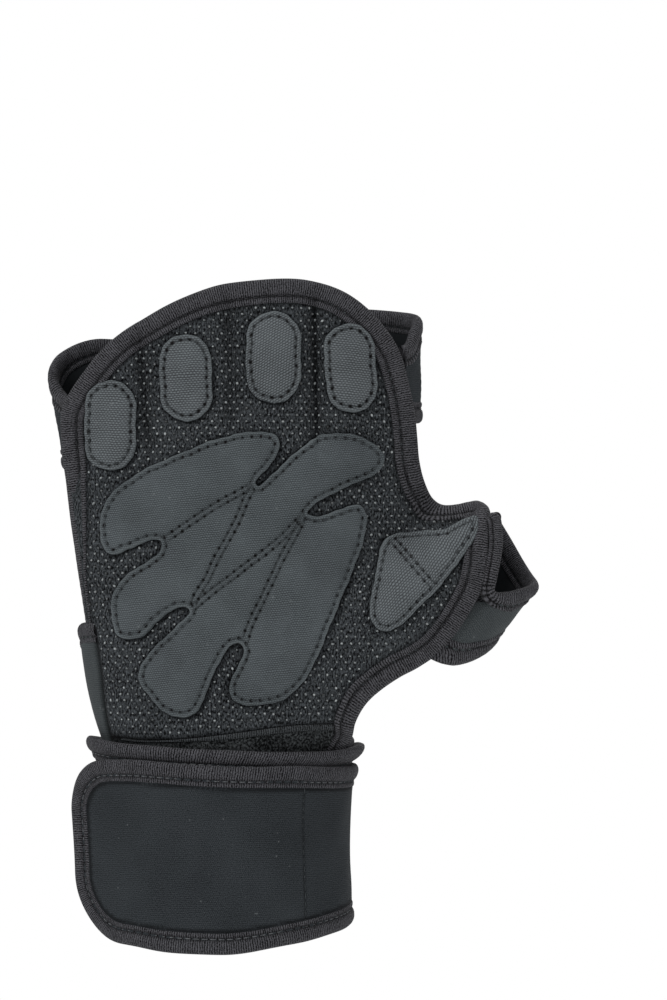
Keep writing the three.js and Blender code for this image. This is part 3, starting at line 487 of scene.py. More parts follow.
def stitchMesh(name, runs, radius, share=0.76):
    # sewn thread: short rounded bars along the runs, pulled into the cloth at their ends
    rings = ((-0.5, 0.3, -0.2), (-0.36, 0.85, -0.02), (0, 1.0, 0.05), (0.36, 0.85, -0.02), (0.5, 0.3, -0.2))
    sides, last = 6, len(rings) - 1
    turns = np.linspace(0, 2 * math.pi, sides, endpoint=False)
    verts, faces, uv = [], [], []
    for points, normals in runs:
        for p, q, n in zip(points[:-1], points[1:], normals[:-1]):
            length = np.linalg.norm(q - p)
            if not 0.5 < length < 3.6:
                continue
            run = (q - p) / length
            across = unit(np.cross(run, n))
            base = len(verts)
            for at, size, lift in rings:
                c = (p + q) / 2 + run * at * length * share + n * lift
                for t in turns:
                    verts.append(c + radius * size * (across * math.cos(t) + n * math.sin(t) * 0.8))
                    uv.append((base * 0.37, at * 2))
            faces += ringFaces(base, last, sides)
            faces.append([base + k for k in reversed(range(sides))])
            faces.append([base + last * sides + k for k in range(sides)])
    return makeObject(name, np.array(verts), faces, np.array(uv), None, 80)


# Materials

def newMaterial(name):
    material = bpy.data.materials.new(name)
    material.use_nodes = True
    tree = material.node_tree
    tree.nodes.clear()
    out = tree.nodes.new("ShaderNodeOutputMaterial")
    shader = tree.nodes.new("ShaderNodeBsdfPrincipled")
    tree.links.new(shader.outputs["BSDF"], out.inputs["Surface"])
    return material, tree, shader


def wire(tree, kind, inputs=None, **settings):
    node = tree.nodes.new(kind)
    for key, value in settings.items():
        setattr(node, key, value)
    for key, value in (inputs or {}).items():
        if isinstance(value, bpy.types.NodeSocket):
            tree.links.new(value, node.inputs[key])
        else:
            node.inputs[key].default_value = value
    return node


def calc(tree, operation, a, b=0.0, c=0.0):
    return wire(tree, "ShaderNodeMath", {0: a, 1: b, 2: c}, operation=operation).outputs[0]


def times(tree, a, b):
    return calc(tree, "MULTIPLY", a, b)


def timesPlus(tree, a, b, c):
    return calc(tree, "MULTIPLY_ADD", a, b, c)


def noise(tree, vector, scale, detail, roughness=0.5):
    return wire(tree, "ShaderNodeTexNoise", {
        "Vector": vector, "Scale": scale, "Detail": detail, "Roughness": roughness}).outputs["Fac"]


def stretched(tree, value, low, high):
    return wire(tree, "ShaderNodeMapRange", {
        "Value": value, "From Min": low, "From Max": high}).outputs["Result"]


def srgb(colour):
    shares = [c / 255 for c in colour]
    return (*(c / 12.92 if c <= 0.04045 else ((c + 0.055) / 1.055) ** 2.4 for c in shares), 1.0)


def mixColour(tree, factor, a, b):
    # a and b are sockets or screen colours from 0 to 255
    node = wire(tree, "ShaderNodeMix", data_type="RGBA")
    for key, value in (("Factor", factor), ("A", a), ("B", b)):
        socket = [s for s in node.inputs if s.name == key and (s.type == "RGBA" or key == "Factor")][0]
        if isinstance(value, bpy.types.NodeSocket):
            tree.links.new(value, socket)
        else:
            socket.default_value = srgb(value)
    return [s for s in node.outputs if s.type == "RGBA"][0]


def newGroup(name, inputs, outputs):
    # a group over the cloth's plan whose other inputs and whose outputs are single numbers
    group = bpy.data.node_groups.new(name, "ShaderNodeTree")
    group.interface.new_socket(name="Plan", in_out="INPUT", socket_type="NodeSocketVector")
    for socketName, value in inputs.items():
        socket = group.interface.new_socket(name=socketName, in_out="INPUT", socket_type="NodeSocketFloat")
        socket.default_value = value
    for socketName in outputs:
        group.interface.new_socket(name=socketName, in_out="OUTPUT", socket_type="NodeSocketFloat")
    return group, group.nodes.new("NodeGroupInput"), group.nodes.new("NodeGroupOutput")


def useGroup(tree, group, **inputs):
    inputs["Plan"] = wire(tree, "ShaderNodeUVMap", uv_map="clothPlan").outputs["UV"]
    return wire(tree, "ShaderNodeGroup", inputs, node_tree=group).outputs


def buildFuzz():
    # short fibres: a fine height that may be drawn out one way, slow patches of tone, and rare pale lint
    group, start, end = newGroup(
        "clothFuzz", {"Fibre": 3.0, "Stretch": 1.0, "Patch": 0.06, "Lint": 0.5},
        ("Height", "Patches", "Lint"))
    plan = start.outputs["Plan"]
    split = wire(group, "ShaderNodeSeparateXYZ", {"Vector": plan}).outputs
    drawn = wire(group, "ShaderNodeCombineXYZ", {
        "X": split["X"], "Y": times(group, split["Y"], start.outputs["Stretch"])}).outputs["Vector"]
    cells = wire(group, "ShaderNodeTexVoronoi", {
        "Vector": plan, "Scale": start.outputs["Lint"], "Randomness": 1.0}).outputs
    speck = wire(group, "ShaderNodeMapRange", {
        "Value": cells["Distance"], "From Min": 0.0, "From Max": 0.1, "To Min": 1.0, "To Max": 0.0})
    red = wire(group, "ShaderNodeSeparateColor", {"Color": cells["Color"]}).outputs["Red"]
    lint = times(group, speck.outputs["Result"], calc(group, "GREATER_THAN", red, 0.6))
    group.links.new(noise(group, drawn, start.outputs["Fibre"], 3.0, 0.7), end.inputs["Height"])
    group.links.new(noise(group, plan, start.outputs["Patch"], 4.0, 0.6), end.inputs["Patches"])
    group.links.new(lint, end.inputs["Lint"])
    return group


def buildRibs():
    # fine ribs that run across a tape, uneven as knit is
    group, start, end = newGroup("tapeRibs", {"Pitch": 0.6}, ("Height", "Tone"))
    plan = start.outputs["Plan"]
    split = wire(group, "ShaderNodeSeparateXYZ", {"Vector": plan}).outputs
    along = timesPlus(group, noise(group, plan, 0.8, 2.0), 0.7, split["X"])
    turn = times(group, calc(group, "DIVIDE", along, start.outputs["Pitch"]), 2 * math.pi)
    rib = timesPlus(group, calc(group, "SINE", turn), 0.5, 0.5)
    drawn = wire(group, "ShaderNodeCombineXYZ", {
        "X": split["X"], "Y": times(group, split["Y"], 0.75)}).outputs["Vector"]
    grainy = timesPlus(group, noise(group, drawn, 3.0, 3.0, 0.72), 1.5, -0.48)
    group.links.new(calc(group, "ADD", times(group, rib, 0.4), grainy), end.inputs["Height"])
    group.links.new(noise(group, plan, 0.35, 3.0), end.inputs["Tone"])
    return group


def buildWeave():
    # canvas: rows of short threads, each row set half a thread along from the last
    group, start, end = newGroup("canvasWeave", {"Pitch": 0.6, "Thread": 1.3}, ("Height", "Row"))
    plan, pitch = start.outputs["Plan"], start.outputs["Pitch"]
    split = wire(group, "ShaderNodeSeparateXYZ", {"Vector": plan}).outputs
    across = calc(group, "DIVIDE", timesPlus(group, noise(group, plan, 0.35, 2.0), 0.8, split["Y"]), pitch)
    shade = calc(group, "SINE", times(group, calc(group, "FRACT", across), math.pi))
    length = times(group, pitch, start.outputs["Thread"])
    along = times(group, calc(group, "DIVIDE", split["X"], length), 2 * math.pi)
    along = timesPlus(group, calc(group, "FLOOR", across), math.pi, along)
    thread = timesPlus(group, calc(group, "SINE", along), 0.5, 0.5)
    over = times(group, shade, timesPlus(group, thread, 0.62, 0.38))
    group.links.new(over, end.inputs["Height"])
    group.links.new(shade, end.inputs["Row"])
    return group


fuzzGroup = buildFuzz()
ribGroup = buildRibs()
weaveGroup = buildWeave()


def finishShader(tree, shader, colour, roughness, height, strength, distance, sheen, specular):
    bump = wire(tree, "ShaderNodeBump", {"Strength": strength, "Distance": distance, "Height": height})
    tree.links.new(bump.outputs["Normal"], shader.inputs["Normal"])
    tree.links.new(colour, shader.inputs["Base Color"])
    tree.links.new(roughness, shader.inputs["Roughness"])
    shader.inputs["Sheen Weight"].default_value = sheen
    shader.inputs["Sheen Roughness"].default_value = 0.5
    shader.inputs["Specular IOR Level"].default_value = specular


def markOf(tree, name):
    return wire(tree, "ShaderNodeAttribute", attribute_name=name).outputs["Fac"]


clothLooks = {
    "dotted cloth": {
        "dark": (0, 0, 1), "light": (96, 101, 105), "lint": (110, 114, 116), "lining": (44, 47, 50),
        "fibre": 2.3, "stretch": 0.46, "patch": 0.07, "lintScale": 0.4, "spread": (0.41, 0.64),
        "patches": 0.1, "knit": 0.0, "bump": 0.8, "rough": 0.9, "sheen": 0.03,
    },
    "foam jersey": {
        "dark": (18, 21, 24), "light": (76, 81, 85), "lint": (132, 136, 138), "lining": (46, 50, 53),
        "fibre": 3.4, "stretch": 0.9, "patch": 0.05, "lintScale": 0.34, "spread": (0.32, 0.68),
        "patches": 0.22, "knit": 0.16, "bump": 0.4, "rough": 0.84, "sheen": 0.04,
    },
    # a lighter copy of the foam jersey: painted light for the cuff and the thumb strap, which face the lamps
    # more
    "jersey with painted light": {
        "dark": (46, 50, 52), "light": (92, 98, 100), "lint": (120, 124, 126), "lining": (46, 50, 53),
        "fibre": 3.2, "stretch": 0.8, "patch": 0.05, "lintScale": 0.2, "spread": (0.32, 0.68),
        "patches": 0.22, "knit": 0.2, "bump": 0.4, "rough": 0.8, "sheen": 0.05,
    },
    "loop cloth": {
        "dark": (6, 7, 8), "light": (92, 96, 98), "lint": (96, 98, 100), "lining": (34, 36, 38),
        "fibre": 1.8, "stretch": 0.8, "patch": 0.1, "lintScale": 0.5, "spread": (0.44, 0.66),
        "patches": 0.3, "knit": 0.0, "bump": 1.0, "rough": 0.96, "sheen": 0.05,
    },
}


def buildClothMaterial(name):
    look = clothLooks[name]
    material, tree, shader = newMaterial(name)
    fuzz = useGroup(
        tree, fuzzGroup, Fibre=look["fibre"], Stretch=look["stretch"], Patch=look["patch"],
        Lint=look["lintScale"])
    knit = useGroup(tree, weaveGroup, Pitch=0.5, Thread=1.0)["Height"]
    steady = 0.07 - 0.5 * look["patches"]
    grain = timesPlus(tree, fuzz["Patches"], look["patches"], timesPlus(tree, fuzz["Height"], 0.85, steady))
    knitted = timesPlus(tree, knit, look["knit"], times(tree, grain, 1 - look["knit"]))
    # the tone follows the bump height: partly the fibres' own tone, partly painted shade in the gaps between
    # fibres and knit
    colour = mixColour(tree, stretched(tree, knitted, *look["spread"]), look["dark"], look["light"])
    colour = mixColour(tree, times(tree, fuzz["Lint"], 0.6), colour, look["lint"])
    inside = calc(tree, "SUBTRACT", 1.0, markOf(tree, "outside"))
    colour = mixColour(tree, inside, colour, mixColour(tree, grain, (30, 32, 34), look["lining"]))
    # painted shade: the crease mark darkens the cloth towards near black
    colour = mixColour(tree, times(tree, markOf(tree, "crease"), 0.85), colour, (4, 4, 5))
    rough = timesPlus(tree, fuzz["Patches"], 0.14, look["rough"] - 0.07)
    finishShader(tree, shader, colour, rough, knitted, look["bump"], 0.00025, look["sheen"], 0.08)
    return material


dottedMaterial = buildClothMaterial("dotted cloth")
plainMaterial = buildClothMaterial("foam jersey")
paintedLightJerseyMaterial = buildClothMaterial("jersey with painted light")
loopMaterial = buildClothMaterial("loop cloth")


def buildTapeMaterial(name, dark, light):
    material, tree, shader = newMaterial(name)
    ribs = useGroup(tree, ribGroup, Pitch=0.62)
    tone = timesPlus(tree, ribs["Tone"], 0.3, ribs["Height"])
    # the ribs' height sets the colour: partly the knit's own tone, partly painted shade in the valleys
    # between ribs
    colour = mixColour(tree, stretched(tree, tone, 0.4, 0.92), dark, light)
    # painted shade: the groove mark darkens the tape to near black in the stitch groove
    colour = mixColour(tree, times(tree, markOf(tree, "groove"), 0.9), colour, (5, 5, 6))
    rough = timesPlus(tree, ribs["Tone"], 0.12, 0.82)
    finishShader(tree, shader, colour, rough, ribs["Height"], 0.6, 0.00022, 0.05, 0.12)
    return material


gripLooks = {
    # rim is the colour of the painted highlight along each pad's cut edge
    "slate canvas": {
        "dark": (22, 26, 28), "light": (106, 114, 118), "rim": (112, 119, 122), "pitch": 0.56, "thread": 1.2,
        "spread": (0.26, 0.86), "weave": 0.52,
    },
    # the finger pads' canvas is coarser, and its light tone is raised as painted light for the top light that
    # the pads catch
    "slate canvas, coarse, painted lighter": {
        "dark": (14, 16, 18), "light": (126, 133, 137), "rim": (112, 119, 122), "pitch": 0.6, "thread": 1.5,
        "spread": (0.26, 0.95), "weave": 0.62,
    },
}


def buildGripMaterial(name):
    look = gripLooks[name]
    material, tree, shader = newMaterial(name)
    weave = useGroup(tree, weaveGroup, Pitch=look["pitch"], Thread=look["thread"])
    fuzz = useGroup(tree, fuzzGroup, Fibre=2.4, Stretch=1.0, Patch=0.07, Lint=0.22)
    grain = timesPlus(tree, fuzz["Height"], 0.5, times(tree, fuzz["Patches"], 0.5))
    # the tone follows the weave's height: partly the threads' own tone, partly painted shade between threads
    # and rows
    tone = timesPlus(tree, weave["Height"], look["weave"], times(tree, grain, 1 - look["weave"] * 0.5))
    # painted highlight along the cut edge: the rim mark, broken up by noise, lightens the canvas towards the
    # rim colour
    paintedShading = times(tree, markOf(tree, "rim"), timesPlus(tree, fuzz["Patches"], 2.6, -0.85))
    colour = mixColour(tree, stretched(tree, tone, *look["spread"]), look["dark"], look["light"])
    colour = mixColour(tree, paintedShading, colour, look["rim"])
    # painted shade along the stitch groove, and near black painted shade in the needle holes
    colour = mixColour(tree, times(tree, markOf(tree, "seam"), 0.3), colour, (24, 27, 29))
    colour = mixColour(tree, times(tree, fuzz["Lint"], 0.35), colour, (150, 155, 157))
    colour = mixColour(tree, stretched(tree, markOf(tree, "pit"), 0.25, 0.75), colour, (4, 4, 5))
    rough = timesPlus(tree, weave["Row"], -0.1, 0.68)
    height = timesPlus(tree, fuzz["Height"], 0.3, weave["Height"])
    finishShader(tree, shader, colour, rough, height, 0.7, 0.0002, 0.0, 0.25)
    return material


def buildDotMaterial():
    material, tree, shader = newMaterial("clear dots")
    fuzz = useGroup(tree, fuzzGroup, Fibre=0.9, Stretch=1.0, Patch=0.3, Lint=0.2)
    # painted highlight: the dots are coloured lighter towards their tips, more on some dots than on others
    paintedGlint = mixColour(tree, stretched(tree, fuzz["Height"], 0.35, 0.65), (92, 98, 101), (198, 204, 206))
    colour = mixColour(tree, markOf(tree, "paintedGlint"), (18, 19, 20), paintedGlint)
    rough = timesPlus(tree, fuzz["Patches"], 0.2, 0.18)
    finishShader(tree, shader, colour, rough, fuzz["Height"], 0.15, 0.0001, 0.0, 0.6)
    return material


def buildThreadMaterial(name, dark, light):
    material, tree, shader = newMaterial(name)
    fuzz = useGroup(tree, fuzzGroup, Fibre=1.3, Stretch=1.0, Patch=0.3, Lint=0.1)
    colour = mixColour(tree, stretched(tree, fuzz["Height"], 0.3, 0.7), dark, light)
    rough = timesPlus(tree, fuzz["Patches"], 0.2, 0.5)
    finishShader(tree, shader, colour, rough, fuzz["Height"], 0.4, 0.0001, 0.0, 0.2)
    return material


tapeMaterial = buildTapeMaterial("ribbed tape", (4, 4, 5), (103, 103, 108))
stripMaterial = buildTapeMaterial("grey ribbed strip", (10, 11, 12), (88, 92, 95))
palmPadMaterial = buildGripMaterial("slate canvas")
fingerPadMaterial = buildGripMaterial("slate canvas, coarse, painted lighter")
dotMaterial = buildDotMaterial()
darkThreadMaterial = buildThreadMaterial("dark thread", (18, 19, 21), (60, 61, 64))
padThreadMaterial = buildThreadMaterial("slate thread", (36, 39, 41), (82, 88, 91))
tapeThreadMaterial = buildThreadMaterial("grey thread", (56, 57, 60), (124, 126, 129))
print("materials made:", len(bpy.data.materials))

# Camera and light

studio = {
    "distance": 2200, "pixel": 0.2654, "middle": (29.06, 91.6), "height": 1000,
    "sensor": 36, "target": (20, 0, 70),
    "backdrop": 1.0, "ambient": 0.22, "floor": {"z": -160, "radius": 1950, "sides": 64},
    "lamps": {
        "key": {"at": (-1.25, -1.1, 1.1), "size": 0.8, "power": 15},
        "fill": {"at": (1.4, -0.9, 0.5), "size": 0.9, "power": 5.5},
        "top": {"at": (0.0, 0.1, 1.7), "size": 0.9, "power": 6},
        "back": {"at": (0.3, 1.4, 0.9), "size": 1.1, "power": 9},
    },
}


def setUpStudio():
    camera = bpy.data.cameras.new("camera")
    camera.sensor_fit = "AUTO"
    camera.sensor_width = studio["sensor"]
    camera.lens = studio["sensor"] * studio["distance"] / (studio["height"] * studio["pixel"])
    camera.clip_start = 0.05
    camera.clip_end = 50
    eye = bpy.data.objects.new("camera", camera)
    middleX, middleZ = studio["middle"]
    eye.location = (middleX * 0.001, -studio["distance"] * 0.001, middleZ * 0.001)
    eye.rotation_euler = (math.pi / 2, 0, 0)
    bpy.context.collection.objects.link(eye)
    bpy.context.scene.camera = eye

    target = np.array(studio["target"]) * 0.001
    for lampName, lamp in studio["lamps"].items():
        light = bpy.data.lights.new(lampName, "AREA")
        light.shape = "DISK"
        light.size = lamp["size"]
        light.energy = lamp["power"]
        obj = bpy.data.objects.new(lampName, light)
        obj.location = lamp["at"]
        aim = target - np.array(lamp["at"])
        obj.rotation_euler = (
            math.atan2(math.hypot(aim[0], aim[1]), -aim[2]), 0, math.atan2(aim[0], -aim[1]) + math.pi)
        bpy.context.collection.objects.link(obj)

    # a white backdrop for the camera, and a softer room light for the glove
    world = bpy.data.worlds.new("studio")
    bpy.context.scene.world = world
    world.use_nodes = True
    tree = world.node_tree
    seen = wire(tree, "ShaderNodeLightPath").outputs["Is Camera Ray"]
    strength = timesPlus(tree, seen, studio["backdrop"] - studio["ambient"], studio["ambient"])
    tree.nodes["Background"].inputs["Color"].default_value = (1, 1, 1, 1)
    tree.links.new(strength, tree.nodes["Background"].inputs["Strength"])

    level = studio["floor"]
    turns = np.linspace(0, 2 * math.pi, level["sides"], endpoint=False)
    x, y = 20 + level["radius"] * np.cos(turns), level["radius"] * np.sin(turns)
    ring = np.stack([x, y, np.full(len(turns), level["z"])], 1)
    floor = makeObject("floor", ring, [list(range(level["sides"]))])
    material, _, shader = newMaterial("pale floor")
    shader.inputs["Base Color"].default_value = (0.9, 0.9, 0.9, 1)
    shader.inputs["Roughness"].default_value = 0.7
    floor.data.materials.append(material)


setUpStudio()
bpy.context.scene.view_settings.view_transform = "Standard"
print("studio set")

# Grip pads: their cut plans and sewn lines

fingerPadLook = {
    "grip_pad_little": {"at": (-29.7, 111.3), "size": (13.2, 23.6), "lean": 0, "grain": -2},
    "grip_pad_ring": {"at": (-9.8, 123.8), "size": (13.4, 22.8), "lean": -2, "grain": 3},
    "grip_pad_middle": {"at": (13.2, 129.2), "size": (14.0, 24.1), "lean": 0, "grain": 33},
    "grip_pad_index": {"at": (33.5, 126.4), "size": (13.0, 23.4), "lean": -4, "grain": -6},
}
palmPadLook = {
    "grain": 6,
    "outline": [
        (10.6, 109.5), (14.4, 107.8), (14.6, 104.4), (11.8, 100.2), (8.6, 96.2), (9.4, 95.2), (13.4, 98.8),
        (18.8, 103.8), (23.8, 107.6), (28.8, 109.1), (35.4, 108.4), (40.4, 105.6), (42.2, 102.2),
        (40.8, 99.2), (36.0, 96.6), (29.0, 93.4), (23.0, 89.6), (22.0, 87.9), (24.6, 87.3), (30.0, 88.8),
        (35.4, 90.4), (37.4, 87.6), (37.2, 83.0), (34.8, 75.0), (31.2, 65.8), (27.2, 56.4), (23.6, 48.2),
        (19.4, 42.0), (14.2, 38.6), (5.2, 37.9), (2.2, 39.6), (2.0, 43.4), (4.2, 48.6), (5.7, 52.0),
        (4.2, 54.0), (1.6, 52.8), (-1.2, 48.4), (-4.0, 42.2), (-6.6, 36.2), (-10.4, 34.5), (-14.6, 35.4),
        (-18.6, 39.4), (-21.6, 43.4), (-21.4, 48.0), (-17.0, 53.6), (-11.4, 59.0), (-8.7, 62.0),
        (-9.8, 63.4), (-13.0, 62.9), (-17.4, 59.4), (-22.2, 55.3), (-26.8, 55.4), (-28.9, 59.8),
        (-28.8, 66.2), (-26.4, 70.6), (-20.4, 75.0), (-16.2, 78.2), (-16.4, 80.8), (-19.8, 80.8),
        (-25.0, 78.6), (-29.0, 77.2), (-31.6, 79.8), (-32.2, 84.4), (-30.8, 91.0), (-26.6, 95.6),
        (-20.4, 99.6), (-11.6, 103.6), (-2.0, 107.4),
    ],
    "channels": [
        [(-15.9, 80.6), (-11.7, 83.4), (-6.4, 87.1), (-1.1, 90.5), (4.2, 93.4), (8.2, 95.6)],
        [(8.0, 95.2), (6.4, 92.4), (5.0, 88.9), (3.5, 85.5), (1.1, 81.0), (-1.6, 76.2), (-4.0, 70.9),
         (-6.4, 67.1), (-7.9, 63.6)],
        [(-7.6, 63.4), (-2.4, 67.7), (2.9, 71.7), (6.9, 74.8), (12.2, 78.8), (16.2, 82.3), (19.4, 85.7),
         (21.6, 87.6)],
        [(21.2, 87.4), (19.4, 83.6), (17.5, 80.1), (14.9, 75.1), (12.7, 70.3), (10.6, 65.8), (8.5, 61.6),
         (6.6, 57.1), (5.7, 53.6)],
    ],
}
thumbPadLook = {
    "grain": 46,
    "outline": [
        (67.4, 86.6), (66.6, 82.0), (62.0, 75.4), (56.6, 68.4), (50.4, 62.4), (46.0, 58.2), (42.0, 57.2),
        (38.8, 60.2), (39.2, 66.4), (40.6, 73.6), (41.8, 80.0), (44.6, 82.3), (51.6, 82.8), (58.4, 83.4),
        (63.4, 85.8), (66.4, 87.0),
    ],
    "channels": [[(44.2, 81.0), (48.6, 76.2), (52.6, 71.6), (56.0, 67.9)]],
}
padSewing = {
    "cell": 0.62, "rim": 1.3, "pitch": 2.4, "rows": 0.75, "groove": 0.42, "grooveDepth": 0.17, "side": 0.78,
    "thick": 1.05, "bevel": 0.3, "puff": 0.55, "wobble": 0.1, "under": -0.65, "hole": 0.27, "holeDepth": 0.42,
}


def offsetOutline(outline, distance):
    # the outline moved inwards, or outwards where the distance is below zero, without crossings
    run = np.roll(outline, -1, axis=0) - np.roll(outline, 1, axis=0)
    moved = outline + unit(np.stack([-run[:, 1], run[:, 0]], 1)) * distance
    kept = distanceTo(moved, outline)[0] > abs(distance) * 0.93
    return moved[kept & (insideOf(moved, outline) == (distance > 0))]


def barOutline(look):
    (x, z), (width, height), lean = look["at"], look["size"], math.radians(look["lean"])
    r = width / 2
    straight = height / 2 - r
    turns = np.linspace(0, math.pi, 17)
    top = np.stack([r * np.cos(turns), straight + r * np.sin(turns)], 1)
    points = np.vstack([top, -top])
    c, s = math.cos(-lean), math.sin(-lean)
    return points @ np.array([[c, s], [-s, c]]) + (x, z)


def stitched(line, pitch, perStitch, closed=False):
    # a sewn line cut into even stitches, with a point on each needle hole
    whole = np.vstack([line, line[:1]]) if closed else line
    length = np.linalg.norm(np.diff(whole, axis=0), axis=1).sum()
    stitches = max(2, round(length / pitch))
    at = spaced(whole, length / (stitches * perStitch))
    return (at[:-1] if closed else at), length / stitches


def planPad(points, channels, grain):
    sew = padSewing
    outline = smoothLine(points, 0.45, closed=True)
    x, z = outline.T
    if (x * np.roll(z, -1) - np.roll(x, -1) * z).sum() < 0:
        outline = outline[::-1]
    # scissors never run quite true
    turn = np.linspace(0, 2 * math.pi, len(outline), endpoint=False)
    waves = round(len(outline) * 0.45 / 9)
    fineWaves = math.floor(2.6 * waves)
    wobble = sew["wobble"] * (np.sin(waves * turn + points[0][0]) + 0.6 * np.sin(fineWaves * turn + 1.3))
    outline = outline + inwardOf(outline, closed=True) * wobble[:, None]
    rim, rimPitch = stitched(offsetOutline(outline, sew["rim"]), sew["pitch"], 6, closed=True)
    seams = [{"line": rim, "closed": True, "pitch": rimPitch}]
    for channel in channels:
        line = smoothLine(channel, 0.6)
        side = inwardOf(line)
        for sense in (1, -1):
            row = line + side * sew["rows"] * sense
            row = row[insideOf(row, outline)]
            row = row[distanceTo(row, outline)[0] > sew["rim"] * 0.9]
            row, pitch = stitched(row, sew["pitch"], 6)
            seams.append({"line": row, "closed": False, "pitch": pitch})
    return {"outline": outline, "seams": seams, "grain": grain}


padPlans = {
    node: planPad(barOutline(look), [], look["grain"]) for node, look in fingerPadLook.items()
}
for node, look in (("palm_pad", palmPadLook), ("thumb_pad", thumbPadLook)):
    padPlans[node] = planPad(look["outline"], look["channels"], look["grain"])


def nearPads(plan, reach=4.0):
    # distance from the nearest pad's outline, for points outside the pads
    away = np.full(len(plan), 1e3)
    for pad in padPlans.values():
        low, high = pad["outline"].min(0) - reach, pad["outline"].max(0) + reach
        close = np.where(((plan > low) & (plan < high)).all(1))[0]
        away[close] = np.minimum(away[close], distanceTo(plan[close], pad["outline"])[0])
    return away


# Palm panel, heel patch and the tape round the palm

palmLook = {
    "edge": [
        (-34.0, 51.0), (-34.9, 54.8), (-36.0, 58.5), (-38.2, 70.5), (-40.5, 83.5), (-42.0, 95.0),
        (-43.4, 106.5), (-43.2, 115.0),
        (-40.6, 120.6), (-36.6, 126.4), (-32.8, 131.0), (-27.5, 135.8), (-20.0, 140.4), (-11.5, 144.8),
        (-3.5, 147.7), (4.5, 149.3), (14.5, 150.2), (23.0, 149.7), (31.0, 147.2), (38.5, 142.0),
        (43.5, 136.5), (47.0, 130.5), (49.3, 123.0), (50.8, 115.5), (51.6, 108.0), (52.2, 101.5),
        (53.6, 96.0), (55.6, 92.2), (58.2, 90.6), (61.5, 90.7), (64.8, 91.4), (67.6, 91.7),
        (69.6, 90.4), (70.4, 86.0), (70.2, 80.0), (69.7, 74.0), (68.3, 68.0), (65.6, 62.5),
        (61.4, 56.0), (56.5, 50.4), (51.8, 47.2), (46.7, 44.6), (41.8, 41.2), (37.8, 37.4),
        (35.2, 33.0), (33.9, 28.0), (28.4, 20.0), (25.4, 10.0), (24.2, 0.0), (24.0, -10.0), (24.2, -20.0),
    ],
    "seam": [(-30.4, 29.0), (-31.8, 36.0), (-32.7, 45.0), (-33.6, 52.0), (-34.6, 58.5)],
    "heel": [(30.0, 32.1), (18.0, 31.8), (4.0, 30.0), (-10.0, 28.6), (-22.0, 28.1), (-30.4, 28.9)],
    "heelLeft": [(-24.2, -20.0), (-24.6, 8.0), (-27.0, 20.0), (-30.4, 28.7)],
    "sideTape": {
        "z": (51, 58.5, 62, 72, 79.6, 87.6, 97, 103),
        "seen": (0.9, 1.0, 1.3, 2.1, 3.6, 4.8, 5.8, 6.2),
        "from": 94,
    },
    "heelEnd": 29.5,
    "seamEnd": 58.5,
    "cell": 0.8,
    "dotPitch": (2.4, 1.68),
    "dotRange": (27, 152),
    "dotRadius": 0.38,
    "dotHeight": 0.4,
}
half = cloth["neoprene"] / 2


def palmTapeLine():
    line = smoothLine(palmLook["edge"], 0.42)
    side = inwardOf(line, soften=14)
    middle = line + side * cloth["tapeWidth"] / 2
    n = palmChart.normal(middle[:, 0], middle[:, 1])
    slope = (side[:, 0] * n[:, 0] + side[:, 1] * n[:, 2]) / n[:, 1]
    # the tape's width on the surface, and the width that this takes in the front view
    onCloth = np.minimum(cloth["tapeWidth"] * np.hypot(1, slope), cloth["tapeWidest"])
    seen = onCloth / np.hypot(1, slope)
    # low on the left the tape rolls off towards the glove's back
    table = palmLook["sideTape"]
    z = line[:, 1]
    isSide = (line[:, 0] < 0) & (z < table["z"][-1])
    blend = np.where(isSide, 1 - smoothstep(z, table["from"], table["z"][-1]), 0)
    narrow = np.minimum(monotone(table["z"], table["seen"])(z), seen)
    visible = seen * (1 - blend) + narrow * blend
    return line, side, seen, {"seen": visible, "full": onCloth, "blend": blend}


def paintedEdgeShade(plan, away):
    # painted shade along a piece's cut edge
    return {"crease": bell(away, 0.9)}


